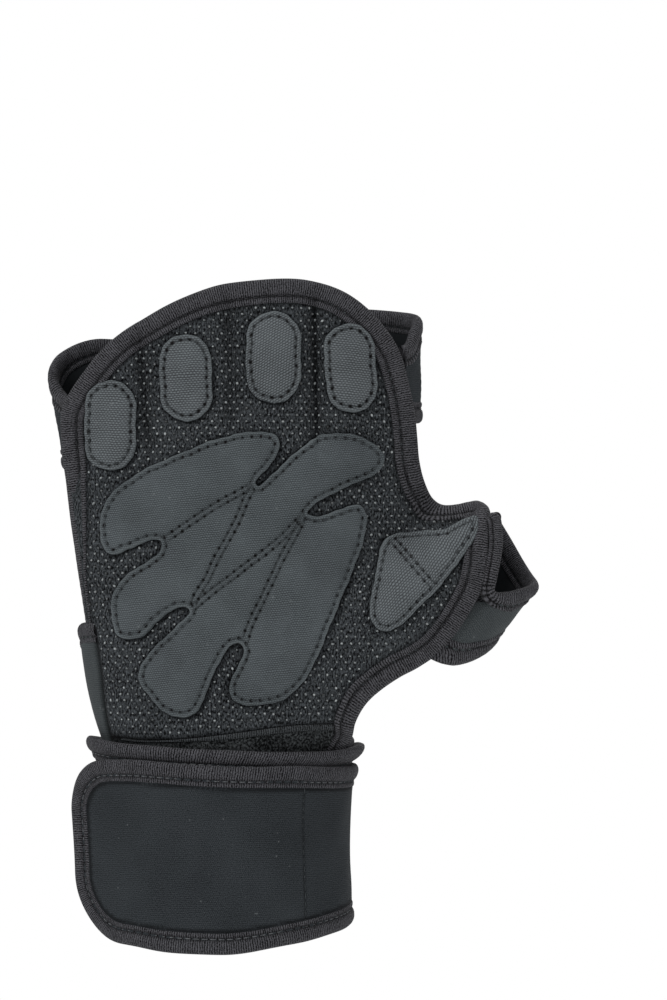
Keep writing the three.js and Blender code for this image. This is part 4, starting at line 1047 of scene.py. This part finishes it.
def buildPalm():
    line, side, seen, turned = palmTapeLine()
    sink = 1.6 * (1 - smoothstep(line[:, 1], 52, 58)) * (line[:, 0] < 0)
    tapeObj, threads = tapeMesh(
        "palm_binding_tape", palmChart, line, side, seen, 3.3, half + sink[:, None], turned)
    dress(tapeObj, tapeMaterial, ("palm_binding",))

    trim = np.where(turned["blend"] > 0.02, np.maximum(0.15, turned["seen"] - 1.1), 9)
    inset = line + side * np.minimum(trim, cloth["trimIn"])[:, None]
    free = (inset[:, 0] > 0) | (inset[:, 1] > palmLook["seamEnd"])
    edge = spaced(inset[(inset[:, 1] > palmLook["heelEnd"]) & free], palmLook["cell"])
    heelRun = smoothLine(palmLook["heel"], palmLook["cell"])
    seamRun = smoothLine(palmLook["seam"], palmLook["cell"])
    outline = np.vstack([edge, heelRun[1:], seamRun[1:]])[::-1]
    tapeInner = (line + side * turned["seen"][:, None])[::3]

    def front(plan, away):
        x, z = plan.T
        ripple = 0.10 * np.sin(x * 0.43 + 1.3) * np.sin(z * 0.37) + 0.07 * np.sin(x * 0.9 - z * 0.7)
        cut = 0.8 * bell(away, 0.6) * (z < 58)
        return ripple * smoothstep(away, 1, 9) - 0.5 * bell(nearPads(plan), 1.5) - cut

    def marksOf(plan, away):
        # the crease mark is painted shade: darker in the creases and hollows between the loops, round the
        # pads, beside the tape's inner edge and along the cut edge low on the left
        wide, tight = seamPull(*plan.T)
        sharp = np.maximum(0.85 * tight ** 1.5, 0.4 * wide)
        paintedContactShade = 0.9 * bell(nearPads(plan), 0.5)
        tape = 0.75 * bell(distanceTo(plan, tapeInner, closed=False)[0], 0.85)
        cut = bell(away, 0.8) * (plan[:, 1] < 58)
        return {"crease": np.clip(np.maximum.reduce([sharp, paintedContactShade, tape, cut]), 0, 1)}

    # more points round the pads and along the creases between the loops
    extra = [offsetOutline(pad["outline"], -gap) for pad in padPlans.values() for gap in (0.02, 0.45, 0.95)]
    for seam in fingerSeams.values():
        crease = spaced(np.array([seam["low"], seam["top"]], float) + ((0, -6), (0, 5)), 0.6)
        extra += [crease + (off, 0) for off in (-1.2, -0.6, 0, 0.6, 1.2)]
    panel = clothMesh(
        "palm_panel_cloth", palmChart, outline, palmLook["cell"], front, -cloth["neoprene"], marksOf,
        np.vstack(extra))
    dress(panel, dottedMaterial, ("palm_panel",))
    return line, side, turned["seen"], panel, front, threads


palmLine, palmSide, palmSeen, palmPanel, palmRipple, palmThreads = buildPalm()
dress(stitchMesh("palm_binding_stitches", palmThreads, 0.2), darkThreadMaterial, ())
print("palm panel done")


def buildHeel():
    heelRun = smoothLine(palmLook["heel"], 0.9)[::-1]
    slit = palmLine[(palmLine[:, 1] < 27) & (palmLine[:, 0] > 0)] - (3.2, 0)
    left = smoothLine(palmLook["heelLeft"], 0.9)
    outline = np.vstack([heelRun - (0, 0.1), spaced(slit, 0.9), left[:-1]])[::-1]
    outline = outline[np.diff(wayAlong(outline), prepend=-1) > 0.2]

    def front(plan, away):
        x, z = plan.T
        loops = 0.14 * np.sin(x * 2.9 + 2 * np.sin(z * 1.7)) * np.sin(z * 3.1 + 1.5 * np.sin(x * 1.3))
        return loops * smoothstep(away, 0.4, 2) - 0.5 * bell(away, 0.7)

    heel = clothMesh(
        "heel_patch_cloth", palmChart, outline, 0.7, front, -cloth["neoprene"], paintedEdgeShade)
    dress(heel, loopMaterial, ("heel_patch",))
    # the narrow flat strip that covers the seam above the patch
    seam = smoothLine(palmLook["heel"], 0.5)
    seam = seam[(seam[:, 0] > -27.0) & (seam[:, 0] < 29.4)]
    tall = np.outer(0.2 + 0.75 * smoothstep(seam[:, 0], -20, 6), (0, 1))
    edges = np.vstack([seam + tall * 0.35, (seam - tall * 1.15)[::-1]])

    def flat(plan, away):
        return 0.12 + 0.2 * np.sqrt(np.clip(away / 0.4, 0, 1))

    strip = clothMesh("heel_seam_strip", palmChart, edges, 0.4, flat, -0.7)
    return heel, dress(strip, stripMaterial, ())


heelPatch, heelStrip = buildHeel()
print("heel patch done")

# Grip pads: filled, then shaped


def coarsePlan(pad):
    # the part of a pad inside its rim seam, in large cells, and which of its points are sewn down
    cell, onLine = 1.2, 0.05
    rim = spaced(np.vstack([pad["seams"][0]["line"], pad["seams"][0]["line"][:1]]), cell)[:-1]
    rows = [spaced(seam["line"], cell) for seam in pad["seams"][1:]]
    low, high = rim.min(0), rim.max(0)
    lines = np.arange(low[1], high[1], 1.05)
    places = np.arange(low[0], high[0], cell)
    grid = np.array([(x + i % 2 * cell / 2, z) for i, z in enumerate(lines) for x in places])
    grid = grid[insideOf(grid, rim)]
    for line, closed in [(rim, True)] + [(row, False) for row in rows]:
        grid = grid[distanceTo(grid, line, closed)[0] > 0.7]
    inner = [row[insideOf(row, rim) & (distanceTo(row, rim)[0] > 0.5)] for row in rows]
    plan, faces = triangled(np.vstack([rim, grid] + inner), len(rim))
    sewn = distanceTo(plan, rim)[0] < onLine
    for row in rows:
        sewn |= distanceTo(plan, row, closed=False)[0] < onLine
    return plan, faces.tolist(), sewn


def swellPads():
    # each pad's filling as cloth: sewn down at its seams, blown up, then read as heights
    scale, frames = 0.02, 20
    trials = {}
    for node, pad in padPlans.items():
        plan, faces, sewn = coarsePlan(pad)
        mesh = bpy.data.meshes.new("filling")
        rng = np.random.default_rng(11)
        start = np.column_stack([plan * scale, rng.normal(0, 0.0004, len(plan)) * ~sewn])
        mesh.from_pydata(start.tolist(), [], faces)
        obj = bpy.data.objects.new("filling", mesh)
        bpy.context.collection.objects.link(obj)
        obj.vertex_groups.new(name="sewn").add(np.where(sewn)[0].tolist(), 1.0, "REPLACE")
        filling = obj.modifiers.new("filling", "CLOTH")
        filling.settings.vertex_group_mass = "sewn"
        filling.settings.quality = 6
        filling.settings.use_pressure = True
        filling.settings.uniform_pressure_force = 4
        filling.settings.tension_stiffness = 8
        filling.settings.compression_stiffness = 8
        filling.settings.effector_weights.gravity = 0
        filling.collision_settings.use_collision = False
        filling.collision_settings.use_self_collision = False
        trials[node] = (obj, plan, faces)
    for moment in range(1, frames + 1):
        bpy.context.scene.frame_set(moment)
    depsgraph = bpy.context.evaluated_depsgraph_get()
    swollen = {}
    for node, (obj, plan, faces) in trials.items():
        ended = obj.evaluated_get(depsgraph).data.vertices
        height = np.abs(np.array([v.co.z for v in ended]))
        top = np.quantile(height, 0.97)
        print("filling of", node, "rose", round(float(top) / scale, 2), "mm")
        height = np.tanh(height / max(top, 1e-9)) / math.tanh(1)
        tree = bvhtree.BVHTree.FromPolygons([(x, z, 0) for x, z in plan], faces)
        swollen[node] = (tree, plan, faces, height)
    bpy.context.scene.frame_set(1)
    for obj, plan, faces in trials.values():
        bpy.data.objects.remove(obj)
    return swollen


def heightOn(swollen, points):
    # the filling's height at points of the plan, from 0 at a seam to about 1 at a crown
    tree, plan, faces, height = swollen
    found = np.zeros(len(points))
    for i, (x, z) in enumerate(points):
        face = faces[tree.find_nearest((x, z, 0))[2]]
        a, b, c = (plan[k] for k in face)
        area = (b[0] - a[0]) * (c[1] - a[1]) - (c[0] - a[0]) * (b[1] - a[1])
        wb = ((x - a[0]) * (c[1] - a[1]) - (c[0] - a[0]) * (z - a[1])) / area
        wc = ((b[0] - a[0]) * (z - a[1]) - (x - a[0]) * (b[1] - a[1])) / area
        found[i] = height[face[0]] * (1 - wb - wc) + height[face[1]] * wb + height[face[2]] * wc
    return np.clip(found, 0, 1.4)


def seamsAt(plan, seams):
    # distance from the nearest sewn line, and from the nearest needle hole on it
    best = np.full(len(plan), 1e3)
    hole = np.full(len(plan), 1e3)
    for seam in seams:
        away, along = distanceTo(plan, seam["line"], seam["closed"])
        off = np.abs((along / seam["pitch"] + 0.5) % 1 - 0.5) * seam["pitch"]
        hole = np.where(away < best, off, hole)
        best = np.minimum(best, away)
    return best, hole


def buildPad(node, pad, material, swollen):
    sew = padSewing
    outline, seams = pad["outline"], pad["seams"]
    lines = [offsetOutline(outline, d) for d in (0.28, 0.62, 0.98, 1.64, 2.0)] + [seams[0]["line"]]
    for seam in seams[1:]:
        side = inwardOf(seam["line"])
        near = np.vstack([seam["line"] + side * off for off in (-0.68, -0.34, 0, 0.34, 0.68)])
        near = near[insideOf(near, outline)]
        lines.append(near[distanceTo(near, outline)[0] > 2.2])
    found = {}
    pitLength = 0.95 if node in fingerPadLook else 0.58

    def clearOf(plan):
        return (distanceTo(plan, outline)[0] > 2.3) & (seamsAt(plan, seams[1:])[0] > 0.95)

    def front(plan, away):
        best, hole = seamsAt(plan, seams)
        found.update(best=best, hole=hole)
        pit = bell(best, sew["hole"]) * bell(hole, sew["hole"])
        inside = smoothstep(away, sew["rim"], sew["rim"] + 0.5)
        rise = heightOn(swollen, plan) if swollen else 1 - np.exp(-best / 1.8)
        bevel = np.sqrt(np.clip(1 - (1 - np.clip(away / sew["bevel"], 0, 1)) ** 2, 0, 1))
        x, z = plan.T
        soft = 0.05 * np.sin(x * 1.3 + 0.5) * np.sin(z * 1.1 + 0.9)
        lip = 0.03 * bell(away - 0.55, 0.4) * np.cos(math.pi * hole / sew["pitch"])
        flat = sew["side"] + (sew["thick"] - sew["side"]) * bevel + lip
        sunk = sew["grooveDepth"] * bell(best, sew["groove"]) + sew["holeDepth"] * pit
        return flat + (sew["puff"] * rise + soft) * inside - sunk

    def marksOf(plan, away):
        # marks for painted light and shade: a painted highlight along the rim, painted shade along the stitch
        # lines and in the needle holes, each hole's shade at a strength that varies from place to place
        best, hole = found["best"], found["hole"]
        paintedShading = 0.95 + 0.55 * np.sin(plan[:, 0] * 2.3 + 0.7) * np.sin(plan[:, 1] * 1.9 + 0.4)
        pit = paintedShading * bell(best, 0.44) * bell(hole, pitLength)
        return {"rim": 1 - smoothstep(away, 0.1, 0.55), "seam": bell(best, 0.42), "pit": np.clip(pit, 0, 1)}

    obj = clothMesh(
        node + "_cloth", palmChart, outline, sew["cell"], front, sew["under"], marksOf, np.vstack(lines),
        clearOf, pad["grain"])
    dress(obj, material, (node,))
    threads = []
    for seam in seams:
        line = np.vstack([seam["line"], seam["line"][:1]]) if seam["closed"] else seam["line"]
        points = palmChart.lifted(*line.T, sew["thick"] - sew["grooveDepth"])
        threads.append(threadRun(points, palmChart.normal(*line.T), 0.04, seam["pitch"]))
    return obj, threads


swollenPads = swellPads()
print("pads filled:", len(swollenPads))
gripThreads = []
for node, pad in padPlans.items():
    material = palmPadMaterial if node == "palm_pad" else fingerPadMaterial
    obj, threads = buildPad(node, pad, material, swollenPads.get(node))
    gripThreads += threads
    print(node, "done, faces:", len(obj.data.polygons))
dress(stitchMesh("grip_pad_stitches", gripThreads, 0.17), padThreadMaterial, ())


def buildDots():
    # clear dots in staggered rows over the palm, left out under pads and tape
    pitchU, pitchV = palmLook["dotPitch"]
    lowest, highest = palmLook["dotRange"]
    points = []
    for row, v in enumerate(np.arange(flatV[0], flatV[-1], pitchV)):
        z = float(np.interp(v, flatV, flatZ))
        if not lowest <= z <= highest:
            continue
        i = int(z - flatZ[0])
        share = z - flatZ[0] - i
        lengths = flatU[i] * (1 - share) + flatU[i + 1] * share
        us = np.arange(lengths[0], lengths[-1], pitchU) + row % 2 * pitchU / 2 - lengths[0] % pitchU
        points += [(float(np.interp(u, lengths, flatX)), z) for u in us]
    points = np.array(points)
    rng = np.random.default_rng(7)
    points += rng.normal(0, 0.07, points.shape)
    inner = palmLine + palmSide * (palmSeen * 1.02 + 0.35)[:, None]
    inner = inner[(inner[:, 1] > 31) & ((inner[:, 0] > 0) | (inner[:, 1] > palmLook["seamEnd"]))]
    heel = smoothLine(palmLook["heel"], 2)
    seam = smoothLine(palmLook["seam"], 2)
    region = np.vstack([inner[::4], heel + (0, 1.2), seam + (0.8, 0)])
    keep = insideOf(points, region)
    for pad in padPlans.values():
        keep &= ~insideOf(points, pad["outline"])
    points = points[keep & (nearPads(points) > 0.35)]
    # the profile's third column is each ring's share of the painted highlight, none at the foot and full at
    # the top
    profile = [(1.0, -0.05, 0.0), (0.86, 0.36, 0.1), (0.56, 0.8, 0.8), (0.26, 0.97, 1.0)]
    sides, last = 8, len(profile) - 1
    turns = np.linspace(0, 2 * math.pi, sides, endpoint=False)
    verts, faces, uv, paintedGlint = [], [], [], []
    base = palmChart.lifted(*points.T, palmRipple(points, distanceTo(points, region)[0]))
    normals = palmChart.normal(*points.T)
    # no two are quite alike: a little larger, longer, three-cornered or with a fainter painted highlight
    sizes = 1 + rng.normal(0, 0.1, len(points))
    longer = 1 + np.abs(rng.normal(0, 0.22, len(points)))
    leans = rng.uniform(0, math.pi, len(points))
    corners = rng.uniform(0, 0.16, len(points))
    glintStrength = np.clip(rng.normal(0.75, 0.25, len(points)), 0.15, 1)
    for k, (c, n) in enumerate(zip(base, normals)):
        a = unit(np.cross(n, (0, 0, 1.0)))
        b = np.cross(n, a)
        start, top, peak = (len(verts) + sides * ring for ring in (0, last, last + 1))
        height = palmLook["dotHeight"] * sizes[k]
        c1, s1 = math.cos(leans[k]), math.sin(leans[k])
        for share, rise, light in profile:
            for t in turns:
                r = palmLook["dotRadius"] * share * sizes[k] * (1 + corners[k] * math.cos(3 * t))
                u, v = r * math.cos(t) * longer[k], r * math.sin(t)
                verts.append(c + a * (u * c1 - v * s1) + b * (u * s1 + v * c1) + n * rise * height)
                paintedGlint.append(light * glintStrength[k])
        verts.append(c + n * height)
        paintedGlint.append(glintStrength[k])
        faces += ringFaces(start, last, sides)
        faces += [(top + j, top + (j + 1) % sides, peak) for j in range(sides)]
        faces.append([start + j for j in reversed(range(sides))])
        uv += [tuple(points[k])] * (peak + 1 - start)
    dots = makeObject("palm_dots", np.array(verts), faces, np.array(uv), {"paintedGlint": paintedGlint}, 80)
    print("dots:", len(points))
    return dress(dots, dotMaterial, ())


palmDots = buildDots()

# Finger band and the walls of its loops


def bindEdge(name, node, chart, line, width=cloth["slimTape"], thickness=2.9, sense=1, soften=8, shade=0.05):
    # a tape over an edge of a strap
    side = inwardOf(line, sense=sense, soften=soften)
    obj, threads = tapeMesh(name, chart, line, side, width, thickness, 0, shade=shade)
    return dress(obj, tapeMaterial, (node,)), threads


def stripOutline(low, top, count):
    # a strip's lower edge, its one end, its upper edge and its other end
    rise = np.linspace(0, 1, count)[1:-1, None]
    ends = low[-1] + (top[-1] - low[-1]) * rise, top[0] + (low[0] - top[0]) * rise
    return np.vstack([low, ends[0], top[::-1], ends[1]])


bandLook = {
    "x": (-40.2, -42.6, -44.9, -42.0, -32.0, -20.6, -10.5, 1.8, 13.0, 24.4, 36.0, 47.5, 51.4, 50.3, 46.9),
    "y": (-6.6, -1.2, 2.6, 7.8, 10.8, 9.8, 12.2, 11.0, 12.8, 11.2, 12.2, 8.8, 3.2, -0.6, -6.8),
    "top": (
        118.5, 120.5, 126.0, 131.0, 134.5, 134.0, 141.0, 138.5, 143.5, 139.5, 142.5, 141.5, 140.3, 137.6,
        132.6,
    ),
    "low": (
        99.5, 99.5, 99.5, 100.0, 101.0, 102.0, 103.5, 105.5, 107.0, 108.5, 110.0, 111.5, 112.0, 112.0, 112.0,
    ),
    "lean": (0.16, 0.16, 0.16, 0.12, 0.05, 0, 0, 0, 0, 0, 0, 0, 0, 0, 0),
    "leanFrom": 120,
}


def bandChartOf():
    stations = np.stack([bandLook["x"], bandLook["y"]], 1).astype(float)
    # the first and the last station lie inside the palm's tape
    places = np.linspace(0, 1, len(bandLook["x"]))
    line = smoothLine(stations, 0.5)
    gone = wayAlong(line)
    which = np.array([np.linalg.norm(line - s, axis=1).argmin() for s in stations])
    placeOf = monotone(gone[which], places)
    columns = {k: monotone(places, bandLook[k]) for k in ("top", "low", "lean")}

    def at(name, a):
        return columns[name](np.clip(placeOf(a), 0, 1))

    def face(a, z):
        x = np.interp(a, gone, line[:, 0]) + at("lean", a) * (bandLook["leanFrom"] - z)
        return np.stack([x, np.interp(a, gone, line[:, 1]), z + 0 * x], -1)

    return Chart(face, -1), at, gone[-1]


bandChart, bandAt, bandLength = bandChartOf()


def buildBand():
    along = np.arange(0.4, bandLength - 0.4, 0.42)
    threads = []
    for node, key, sense in (("band_upper_binding", "top", 1), ("band_lower_binding", "low", -1)):
        line = np.stack([along, bandAt(key, along)], 1)
        threads += bindEdge(node + "_tape", node, bandChart, line, sense=sense)[1]
    along = np.arange(0.6, bandLength - 0.6, 1.1)
    top = np.stack([along, bandAt("top", along) - 1.5], 1)
    low = np.stack([along, bandAt("low", along) + 1.5], 1)

    def front(plan, away):
        return half + 0.12 * np.sin(plan[:, 0] * 0.8) * np.sin(plan[:, 1] * 0.45) * smoothstep(away, 1, 6)

    def back(plan, away):
        return front(plan, away) - cloth["neoprene"]

    body = clothMesh("finger_band_cloth", bandChart, stripOutline(low, top, 18), 1.1, front, back)
    return dress(body, plainMaterial, ("finger_band",)), threads


fingerBand, bandThreads = buildBand()
print("finger band done")


def buildWall(name, seam):
    # a wall of cloth between two loops, hollowed at its upper and lower edge
    (topX, topZ), (lowX, lowZ) = seam["top"], seam["low"]
    middle = (topX + lowX) / 2
    level = bandLook["leanFrom"]
    reach = np.linspace(0, bandLength, 800)
    place = reach[np.abs(bandChart.face(reach, level)[:, 0] - middle).argmin()]
    rear = float(bandChart.face(place, level)[1]) - 0.6
    low = float(bandAt("low", place)) + 5.0
    high = float(bandAt("top", place)) - 5.0
    span = 26

    def face(t, z):
        x = lowX + (topX - lowX) * (z - lowZ) / (topZ - lowZ)
        frontY = frontDepth(x, z) + 1.2
        y = frontY + (rear - frontY) * t / span
        return np.stack([x + 0.5 * np.sin(t * 0.24 + middle) * np.sin(z * 0.2), y, z], -1)

    t = np.linspace(0, span, 25)
    dip = 12 * (t / span) * (1 - t / span)
    outline = stripOutline(np.stack([t, low + dip], 1), np.stack([t, high - dip], 1), 16)

    def front(plan, away):
        return 0.8 * np.sqrt(np.clip(1 - (1 - np.clip(away / 0.9, 0, 1)) ** 2, 0.02, 1))

    def back(plan, away):
        return -front(plan, away)

    wall = clothMesh(name + "_cloth", Chart(face, -1), outline, 1.1, front, back)
    return dress(wall, plainMaterial, (name,))


fingerWalls = [buildWall("finger_wall_" + name, seam) for name, seam in fingerSeams.items()]
print("finger walls done")

# Thumb loop

strapLook = {
    "turn": (14, 37, 53, 74, 90, 135, 180, 225, 252),
    "inner": (-40.0, -35.5, -31.6, -25.6, -22.0, -19.0, -16.5, -13.5, -11.5),
    "outer": (-21.0, -12.5, -6.0, -2.4, -1.0, -0.4, 0.5, 1.6, 2.2),
    "rimTurn": (-43, -33, -15, -2, 9, 22, 29, 40, 53, 74, 90, 135, 180, 225, 256),
    "rimOut": (1.4, 1.7, -0.2, -2.4, -5.2, -9.2, -11.4, -9.4, -6.0, -2.4, -1.0, -0.4, 0.5, 1.6, 2.2),
    "perDegree": 0.26,
    "flatWider": 1.22,
    "tuck": {"depth": 3.8, "from": 22, "to": 42},
    "rimTuck": {"depth": 1.6, "from": -44, "to": -32},
    "farTuck": {"depth": 5.4, "from": 205, "to": 250},
    "rimWidth": 3.7,
    "rimCorner": (27, -13),
}


def thumbChart(near, flat=None):
    # the near ends of the strap and the rim run in behind the palm panel, and the far ends sink towards it
    far = strapLook["farTuck"]

    def face(a, out):
        turn = a / strapLook["perDegree"]
        sink = near["depth"] * (1 - smoothstep(turn, near["from"], near["to"]))
        sink = sink + far["depth"] * smoothstep(turn, far["from"], far["to"])
        return thumbFace(turn, out, -half - sink)

    return Chart(face, 1, flat)


def buildThumbLoop():
    scale = strapLook["perDegree"]
    chart = thumbChart(strapLook["tuck"], lambda a, out: (a * strapLook["flatWider"], out))
    inner, outer = (monotone(strapLook["turn"], strapLook[side]) for side in ("inner", "outer"))
    rimOut = monotone(strapLook["rimTurn"], strapLook["rimOut"])
    turns = np.arange(strapLook["rimTurn"][0], strapLook["rimTurn"][-1], 1.5)
    line = spaced(np.stack([turns * scale, rimOut(turns)], 1), 0.4)
    front = 1 - smoothstep(line[:, 0] / scale, 30, 50)
    width = cloth["slimTape"] + (strapLook["rimWidth"] - cloth["slimTape"]) * front
    rimChart = thumbChart(strapLook["rimTuck"])
    rimRuns = bindEdge("thumb_rim_tape", "thumb_loop_rim_binding", rimChart, line, width, soften=26)[1]
    # no thread in the rim's tight corner
    corner = thumbFace(*(np.array([float(place)]) for place in strapLook["rimCorner"]), -half)
    threads = []
    for points, normals in rimRuns:
        clear = np.linalg.norm(points - corner, axis=1) > 5.5
        threads.append((points[clear], normals[clear]))
    turns = np.arange(15, 254, 1.5)
    line = spaced(np.stack([turns * scale, inner(turns)], 1), 0.4)
    threads += bindEdge(
        "thumb_inner_tape", "thumb_loop_inner_binding", chart, line, sense=-1, soften=10)[1]
    turns = np.arange(15, 254, 4.0)
    low = np.stack([turns * scale, inner(turns) + 1.5], 1)
    top = np.stack([turns * scale, outer(turns) - 1.5], 1)

    def front(plan, away):
        soft = 0.15 * np.sin(plan[:, 0] * 0.5 + 0.6) * np.sin(plan[:, 1] * 0.6)
        return half + soft * smoothstep(away, 1, 5)

    def back(plan, away):
        return front(plan, away) - cloth["neoprene"]

    strap = clothMesh("thumb_loop_cloth", chart, stripOutline(low, top, 14), 1.0, front, back)
    return dress(strap, paintedLightJerseyMaterial, ("thumb_loop",)), threads


thumbLoop, thumbThreads = buildThumbLoop()
print("thumb loop done")

# Cuff

cuffLook = {
    "angle": (214, 196, 176, 150, 120, 90, 55, 25, 0, -14),
    "top": (59.6, 59.4, 58.2, 50.5, 42.0, 36.0, 31.5, 29.3, 28.0, 27.0),
    "foot": -20,
    "tapeFrom": -12,
    "tapeTo": 206,
    "perDegree": 0.45,
    "flatWider": 1.15,
}


def buildCuff():
    scale, foot = cuffLook["perDegree"], cuffLook["foot"]
    chart = Chart(lambda a, z: cuffFace(a / scale, z, -half), 1, lambda a, z: (a * cuffLook["flatWider"], z))
    topAt = monotone(cuffLook["angle"], cuffLook["top"])
    # where the cuff meets the palm's left seam, by height
    seamLine = palmLook["heelLeft"][:-1] + palmLook["seam"]
    seamX = monotone([z for x, z in seamLine], [x for x, z in seamLine])

    def seamAngle(z):
        left, right = innerAt["left"](z), innerAt["right"](z)
        share = ((left + right) / 2 - seamX(z)) / ((right - left) / 2)
        return 180 + np.degrees(np.arccos(np.clip(share, -1, 1)))

    first, last = cuffLook["tapeFrom"], cuffLook["tapeTo"]
    angles = np.arange(first, last, 1.0)
    line = spaced(np.stack([angles * scale, topAt(angles)], 1), 0.42)
    threads = bindEdge("cuff_tape", "cuff_binding", chart, line)[1]
    along = np.arange(first, last, 3.0)
    top = np.stack([along * scale, topAt(along) - 1.5], 1)
    heights = np.arange(foot, float(topAt(last - 1)) - 2.0, 0.8)
    seam = np.stack([seamAngle(heights) * scale + 0.3, heights], 1)
    low = np.linspace((first * scale, foot), (seam[0, 0], foot), 70)
    right = np.linspace(low[0], top[0], 34)[1:-1]
    outline = np.vstack([low[:-1], seam, top[::-1][1:], right[::-1]])

    def front(plan, away):
        soft = 0.12 * np.sin(plan[:, 0] * 0.35) * np.sin(plan[:, 1] * 0.3 + 1) * smoothstep(away, 1, 6)
        return half + soft - 0.8 * bell(away, 0.7)

    extra = np.vstack([seam - (gap, 0) for gap in (0.5, 1.0, 1.6)])
    body = clothMesh("cuff_cloth", chart, outline, 1.2, front, -half, paintedEdgeShade, extra)
    return dress(body, paintedLightJerseyMaterial, ("cuff",)), threads


cuff, cuffThreads = buildCuff()
print("cuff done")

# Wrist wrap

wrapLook = {
    "turn": (0, 15, 60, 105, 150, 195, 240, 285, 330, 375, 400, 430, 465, 490, 510, 560),
    "top": (27.1, 26.9, 25.2, 26.0, 27.3, 29.2, 27.0, 23.8, 22.0, 21.5, 21.2, 21.6, 21.9, 22.8, 23.3, 22.6),
    "low": (
        -16.5, -16.5, -16.8, -17.0, -17.0, -16.5, -17.0, -18.2, -19.4, -20.4, -22.2, -25.0, -27.6, -27.0,
        -25.7, -23.6,
    ),
    "start": 15,
    "lift": {"first": 3.1, "second": 6.1, "from": 280, "to": 352},
    "flap": {"tangent": 510, "mmPerTurn": 0.5, "end": 552, "topRound": 13.5, "lowRound": 17, "shear": -0.07},
    "seamX": 20.8,
    "outer": (340, 470),
}


def wrapFaceAt(turn, z):
    lift, flap = wrapLook["lift"], wrapLook["flap"]

    def wound(t):
        rise = lift["first"] + (lift["second"] - lift["first"]) * smoothstep(t, lift["from"], lift["to"])
        return cuffFace(wrapLook["start"] - t, z, rise)

    t = np.minimum(turn, flap["tangent"])
    point = wound(t)
    onward = unit(point - wound(t - 0.5))
    past = np.maximum(0, turn - flap["tangent"])
    slant = flap["shear"] * (z - 12) * smoothstep(turn, flap["tangent"], flap["end"])
    return point + onward * (past * flap["mmPerTurn"] - np.where(past > 0, slant, 0))[..., None]


def wrapChartOf():
    turns = np.linspace(0, wrapLook["flap"]["end"] + 6, 2400)
    line = wrapFaceAt(turns, np.zeros(2400))
    gone = wayAlong(line)

    def face(a, z):
        return wrapFaceAt(np.interp(a, gone, turns), z)

    return Chart(face, -1), gone, turns


wrapChart, wrapGone, wrapTurns = wrapChartOf()


def buildWrap():
    flap = wrapLook["flap"]
    topAt = monotone(wrapLook["turn"], wrapLook["top"])
    lowAt = monotone(wrapLook["turn"], wrapLook["low"])
    end = float(np.interp(flap["end"], wrapTurns, wrapGone))

    def drop(a, radius):
        into = np.clip(a - end + radius, 0, radius)
        return radius - np.sqrt(np.maximum(0, radius**2 - into**2))

    def edges(step):
        rounded = end - 16 + 16 * np.sin(np.linspace(0, math.pi / 2, 30))
        a = np.concatenate([np.arange(0, end - 16, step), rounded])
        turn = np.interp(a, wrapGone, wrapTurns)
        top = np.stack([a, topAt(turn) - drop(a, flap["topRound"])], 1)
        low = np.stack([a, lowAt(turn) + drop(a, flap["lowRound"])], 1)
        return spaced(np.vstack([top, low[::-1]]), step)

    tapeObj, threads = bindEdge(
        "wrap_tape", "wrap_binding", wrapChart, edges(0.45), thickness=2.8, shade=0.085)
    coarse = edges(1.3)
    inner = coarse + inwardOf(coarse, soften=2) * 1.5
    closing = np.linspace(inner[-1], inner[0], 30)[1:-1]
    outline = np.vstack([inner, closing])[::-1]

    # stitched seam across the outer layer, where the closing strip is sewn on behind
    facing = (wrapTurns > wrapLook["outer"][0]) & (wrapTurns < wrapLook["outer"][1])
    xs = wrapChart.face(wrapGone[facing], np.zeros(facing.sum()))[:, 0]
    place = float(wrapGone[facing][np.abs(xs - wrapLook["seamX"]).argmin()])
    heights = np.linspace(-20.5, 16.4, 90)
    seam = np.stack([place + 0.35 * np.sin(heights * 0.16 + 0.4), heights], 1)

    def front(plan, away):
        a, z = plan.T
        soft = 0.16 * np.sin(a * 0.16 + 0.6) * np.sin(z * 0.17 + 0.8) + 0.07 * np.sin(a * 0.55 + z * 0.3)
        sewn = bell(distanceTo(plan, seam, closed=False)[0], 0.4)
        return half + soft * smoothstep(away, 2, 10) - 0.22 * sewn

    def marksOf(plan, away):
        # painted shade: darker along the sewn seam's dip, and a near black line of painted shadow just inside
        # the tape's inner edge
        sewn = 0.55 * bell(distanceTo(plan, seam, closed=False)[0], 0.35)
        return {"crease": np.maximum(sewn, 0.95 * bell(away - cloth["slimTape"] + 1.2, 0.5))}

    extra = [seam + (off, 0) for off in (-0.7, -0.35, 0, 0.35, 0.7)]
    extra += [offsetOutline(outline, cloth["slimTape"] - 1.5 + gap) for gap in (-0.5, 0, 0.5)]
    body = clothMesh(
        "wrist_wrap_cloth", wrapChart, outline, 1.3, front, -half, marksOf, np.vstack(extra))
    dress(body, plainMaterial, ("wrist_wrap",))
    seamRun = threadRun(wrapChart.lifted(*seam.T, half - 0.2), wrapChart.normal(*seam.T), 0.06)
    dress(stitchMesh("wrap_seam_stitches", [seamRun], 0.13), padThreadMaterial, ())
    return body, tapeObj, threads


wristWrap, wrapTape, wrapThreads = buildWrap()
dress(stitchMesh("wrap_stitches", wrapThreads, 0.16), tapeThreadMaterial, ())
strapThreads = bandThreads + thumbThreads + cuffThreads
dress(stitchMesh("strap_stitches", strapThreads, 0.2), darkThreadMaterial, ())
print("wrist wrap done")
